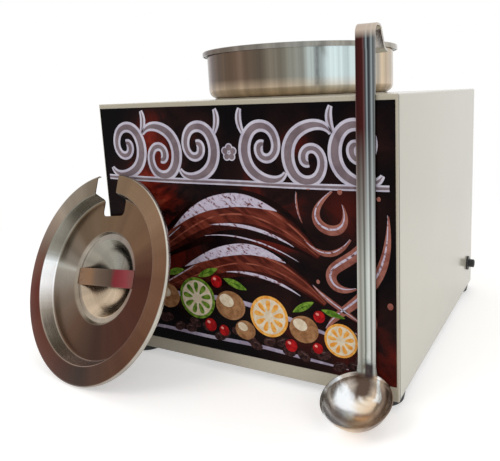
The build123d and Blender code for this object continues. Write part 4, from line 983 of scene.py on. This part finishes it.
knobSettings = {
    "centre": (-60, 83), "back": 153.4, "wall": 2.0, "segments": 144, "cornerSteps": 5,
    "profile": [  # radius, height, rounding: bore, skirt, grip, top
        (3.1, 0, 0), (19.5, 0, 0.4), (19.5, 3.5, 1.6), (14.9, 3.9, 1.0), (14.0, 16.75, 1.6), (0.5, 16.75, 0),
    ],
    "ribs": 24, "ribDepth": 0.7, "ribbed": (4.7, 16.15), "ribsFrom": 13.0,  # heights, radius
    "pointer": (1.4, 11.0, 0.5), "pointerPlace": (0, 7.0, 16.75), "pointerEdge": 0.2,
}
dialSettings = {"figures": 7, "turn": 45, "reach": 23.4, "size": 4.6, "face": 150.6, "lift": 0.12}
switchSettings = {
    "across": 60, "face": 152.25, "bar": (1.0, 0.3, 5.0), "barHeight": 88.6, "barEdge": 0.1,
    "ring": (2.0, 0.4), "ringHeight": 77.4, "ringFlat": 0.4, "axis": (60, 149, 83), "tilt": -7,
}


def rearMatrix(x, y, z):  # local z points out of the rear, local y is up
    return axesAt((-1, 0, 0), (0, 0, 1), (0, 1, 0), Vector((x, y, z)) * mm)


def buildKnob():
    s = knobSettings
    knob = spunShell("controlKnob", s["profile"], s["segments"], s["wall"], False, s["cornerSteps"])
    bottom, top = s["ribbed"]
    for vertex in knob.data.vertices:  # ribs round the grip
        radius = math.hypot(vertex.co.x, vertex.co.y)
        if bottom < vertex.co.z / mm < top and radius > s["ribsFrom"] * mm:
            angle = math.atan2(vertex.co.y, vertex.co.x)
            dip = s["ribDepth"] * mm * (0.5 - 0.5 * math.cos(angle * s["ribs"]))
            vertex.co.x *= 1 - dip / radius
            vertex.co.y *= 1 - dip / radius
    place = rearMatrix(s["centre"][0], s["back"], s["centre"][1])
    settle(knob, place, "knob", finishes["knobPlastic"], "thermostat_knob")
    mark = addBlock(s["pointer"], s["pointerPlace"])
    bevelPiece(mark, s["pointerEdge"])
    mark.name = "knobPointer"
    moveTo(mark, place)
    dress(mark, "knob", finishes["markInk"])


def figure(text, x, z):  # a generic figure standing a little proud of the rear
    s = dialSettings
    data = added(bpy.ops.object.text_add).data
    data.body = text
    data.size = s["size"] * mm
    data.extrude = s["lift"] * mm / 2
    data.align_x = 'CENTER'
    data.align_y = 'CENTER'
    bpy.ops.object.convert(target='MESH')
    label = bpy.context.object
    moveTo(label, rearMatrix(x, s["face"] + s["lift"] / 2, z))
    return label


def buildDial():
    s = dialSettings
    x, z = knobSettings["centre"]
    angles = [math.radians(number * s["turn"]) for number in range(s["figures"])]
    dial = joinPieces([figure(str(number), x - s["reach"] * math.sin(angle), z + s["reach"] * math.cos(angle))
                       for number, angle in enumerate(angles)], "dialFigures")
    dress(dial, "case", finishes["dialInk"])


def buildMarks():
    s = switchSettings
    bar = addBlock(s["bar"], (s["across"], s["face"], s["barHeight"]))
    bevelPiece(bar, s["barEdge"], 1)
    ring = added(bpy.ops.mesh.primitive_torus_add, major_radius=s["ring"][0] * mm, minor_radius=s["ring"][1] * mm,
                 major_segments=40, minor_segments=8)
    ring.rotation_euler = (math.radians(90), 0, 0)
    ring.scale = (1, 1, s["ringFlat"])
    ring.location = metres(s["across"], s["face"], s["ringHeight"])
    applyPlace(ring)
    marks = joinPieces([bar, ring], "switchMarks")
    axis = Vector(s["axis"]) * mm
    turn = Matrix.Rotation(math.radians(s["tilt"]), 4, 'X')
    settle(marks, Matrix.Translation(axis) @ turn @ Matrix.Translation(-axis), "rocker", finishes["markInk"])


buildKnob()
buildDial()
buildMarks()
print("rear controls done")

nodesByFinish = {  # the CAD nodes that stay, by finish
    "wrapPaint": "case_wrap", "shadedFrontPaint": "front_panel", "printedFilm": "front_graphic",
    "rearPaint": "rear_panel", "zincPlate": "base_plate", "lampLens": "lamp_lens", "paleSilicone": "well_gasket",
    "castAluminium": "heat_spreader", "elementSheath": "heating_element", "beadCeramic": "element_beads",
    "dialAluminium": "dial_plate", "blockPlastic": "terminal_block", "wireJacket": "internal_wiring",
    "copperTube": "sensing_bulb capillary", "knobPlastic": "switch_rocker thermostat_knob",
    "screwSteel": "base_screws rear_screws foot_screws foot_nuts thermostat_screws block_screws earth_stud"
                  " band_bolt band_nut clamp_nut",
    "brassTurned": "earth_nuts earth_lug element_pins thermostat_spindle terminal_screws",
    "bandSteel": "well_band bulb_band element_clamp",
    "footRubber": "foot_front_left foot_front_right foot_rear_left foot_rear_right",
    "blackPlastic": "thermostat_body switch_body lamp_body cable_gland gland_locknut",
}
for finish, names in nodesByFinish.items():
    for name in names.split():
        paint(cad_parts[name], finishes[finish])
print("CAD nodes finished")

# stage: floor, lamps, world and camera

stageSettings = {
    "floorSize": 12, "floorColour": (0.80, 0.79, 0.78), "floorGlow": 0.42, "floorFade": (0.24, 0.75),
    "light": 0.55, "lightColour": (1.0, 0.985, 0.96), "white": (1, 1, 1),
    "lamps": [  # name, place, energy, size
        ("keyLamp", (-0.9, -1.5, 1.7), 13, 1.2),
        ("fillLamp", (1.6, -0.9, 1.2), 9, 1.4),
        ("topLamp", (0.1, 0.5, 2.0), 8, 1.6),
    ],
    "aim": (0, 0, 0.12),
}
cameraSettings = {"place": (0.25312, -0.52286, 0.24090), "yaw": 0.490, "pitch": 0.182, "roll": -0.041, "sensor": 36,
                  "focal": 554.2, "middle": (290.1, 195.6), "width": 500, "height": 461, "nearest": 0.01}


def seenDirectly(tree):  # camera, mirror and glass rays
    rays = addNode(tree, 'LightPath').outputs
    either = mathOn('MAXIMUM', rays["Is Camera Ray"], rays["Is Glossy Ray"])
    return mathOn('MAXIMUM', either, rays["Is Transmission Ray"])


def plainShader(tree, kind, colour, **inputs):
    return addNode(tree, kind, {"Color": colour, **inputs}).outputs[0]


def mixShaders(tree, factor, first, second):
    return addNode(tree, 'MixShader', {0: factor, 1: first, 2: second}).outputs[0]


def buildStage():
    s = stageSettings
    floor = added(bpy.ops.mesh.primitive_plane_add, size=s["floorSize"])
    floor.name = "studioFloor"
    material = bpy.data.materials.new("paleFloor")
    material.use_nodes = True
    tree = material.node_tree
    tree.nodes.clear()
    diffuse = plainShader(tree, 'BsdfDiffuse', s["floorColour"])
    glow = plainShader(tree, 'Emission', s["white"], Strength=s["floorGlow"])
    near = addNode(tree, 'AddShader', {0: diffuse, 1: glow}).outputs[0]
    away = vectorOn('LENGTH', addNode(tree, 'TexCoord').outputs["Object"])
    fade = mixShaders(tree, rangeOn(away, 0.0, 1.0, *s["floorFade"]), near,
                      plainShader(tree, 'Emission', s["white"], Strength=1.0))
    addNode(tree, 'OutputMaterial', {"Surface": mixShaders(tree, seenDirectly(tree), diffuse, fade)})
    floor.data.materials.append(material)


def buildWorld():
    s = stageSettings
    world = bpy.data.worlds.new("studioWorld")
    bpy.context.scene.world = world
    world.use_nodes = True
    tree = world.node_tree
    tree.nodes.clear()
    light = plainShader(tree, 'Background', s["lightColour"], Strength=s["light"])
    white = plainShader(tree, 'Background', s["white"], Strength=1.0)
    addNode(tree, 'OutputWorld', {"Surface": mixShaders(tree, seenDirectly(tree), light, white)})


def setUp(data, place, turn):
    holder = bpy.data.objects.new(data.name, data)
    holder.matrix_world = Matrix.Translation(place) @ turn.to_4x4()
    bpy.context.scene.collection.objects.link(holder)
    return holder


def buildLamps():
    for name, place, energy, size in stageSettings["lamps"]:
        lamp = bpy.data.lights.new(name, 'AREA')
        lamp.energy = energy
        lamp.size = size
        toward = Vector(stageSettings["aim"]) - Vector(place)
        setUp(lamp, place, toward.to_track_quat('-Z', 'Y').to_matrix()).visible_glossy = False


def buildCamera():
    s = cameraSettings
    camera = bpy.data.cameras.new("photoCamera")
    camera.sensor_width = s["sensor"]
    camera.sensor_fit = 'HORIZONTAL'
    camera.lens = s["focal"] * s["sensor"] / s["width"]
    camera.shift_x = (s["width"] / 2 - s["middle"][0]) / s["width"]
    camera.shift_y = (s["middle"][1] - s["height"] / 2) / s["width"]
    camera.clip_start = s["nearest"]
    turn = (Matrix.Rotation(s["yaw"], 3, 'Z') @ Matrix.Rotation(math.pi / 2 - s["pitch"], 3, 'X')
            @ Matrix.Rotation(s["roll"], 3, 'Z'))
    bpy.context.scene.camera = setUp(camera, s["place"], turn)


buildStage()
buildWorld()
buildLamps()
buildCamera()
bpy.context.scene.view_settings.view_transform = 'Standard'
print("stage done")
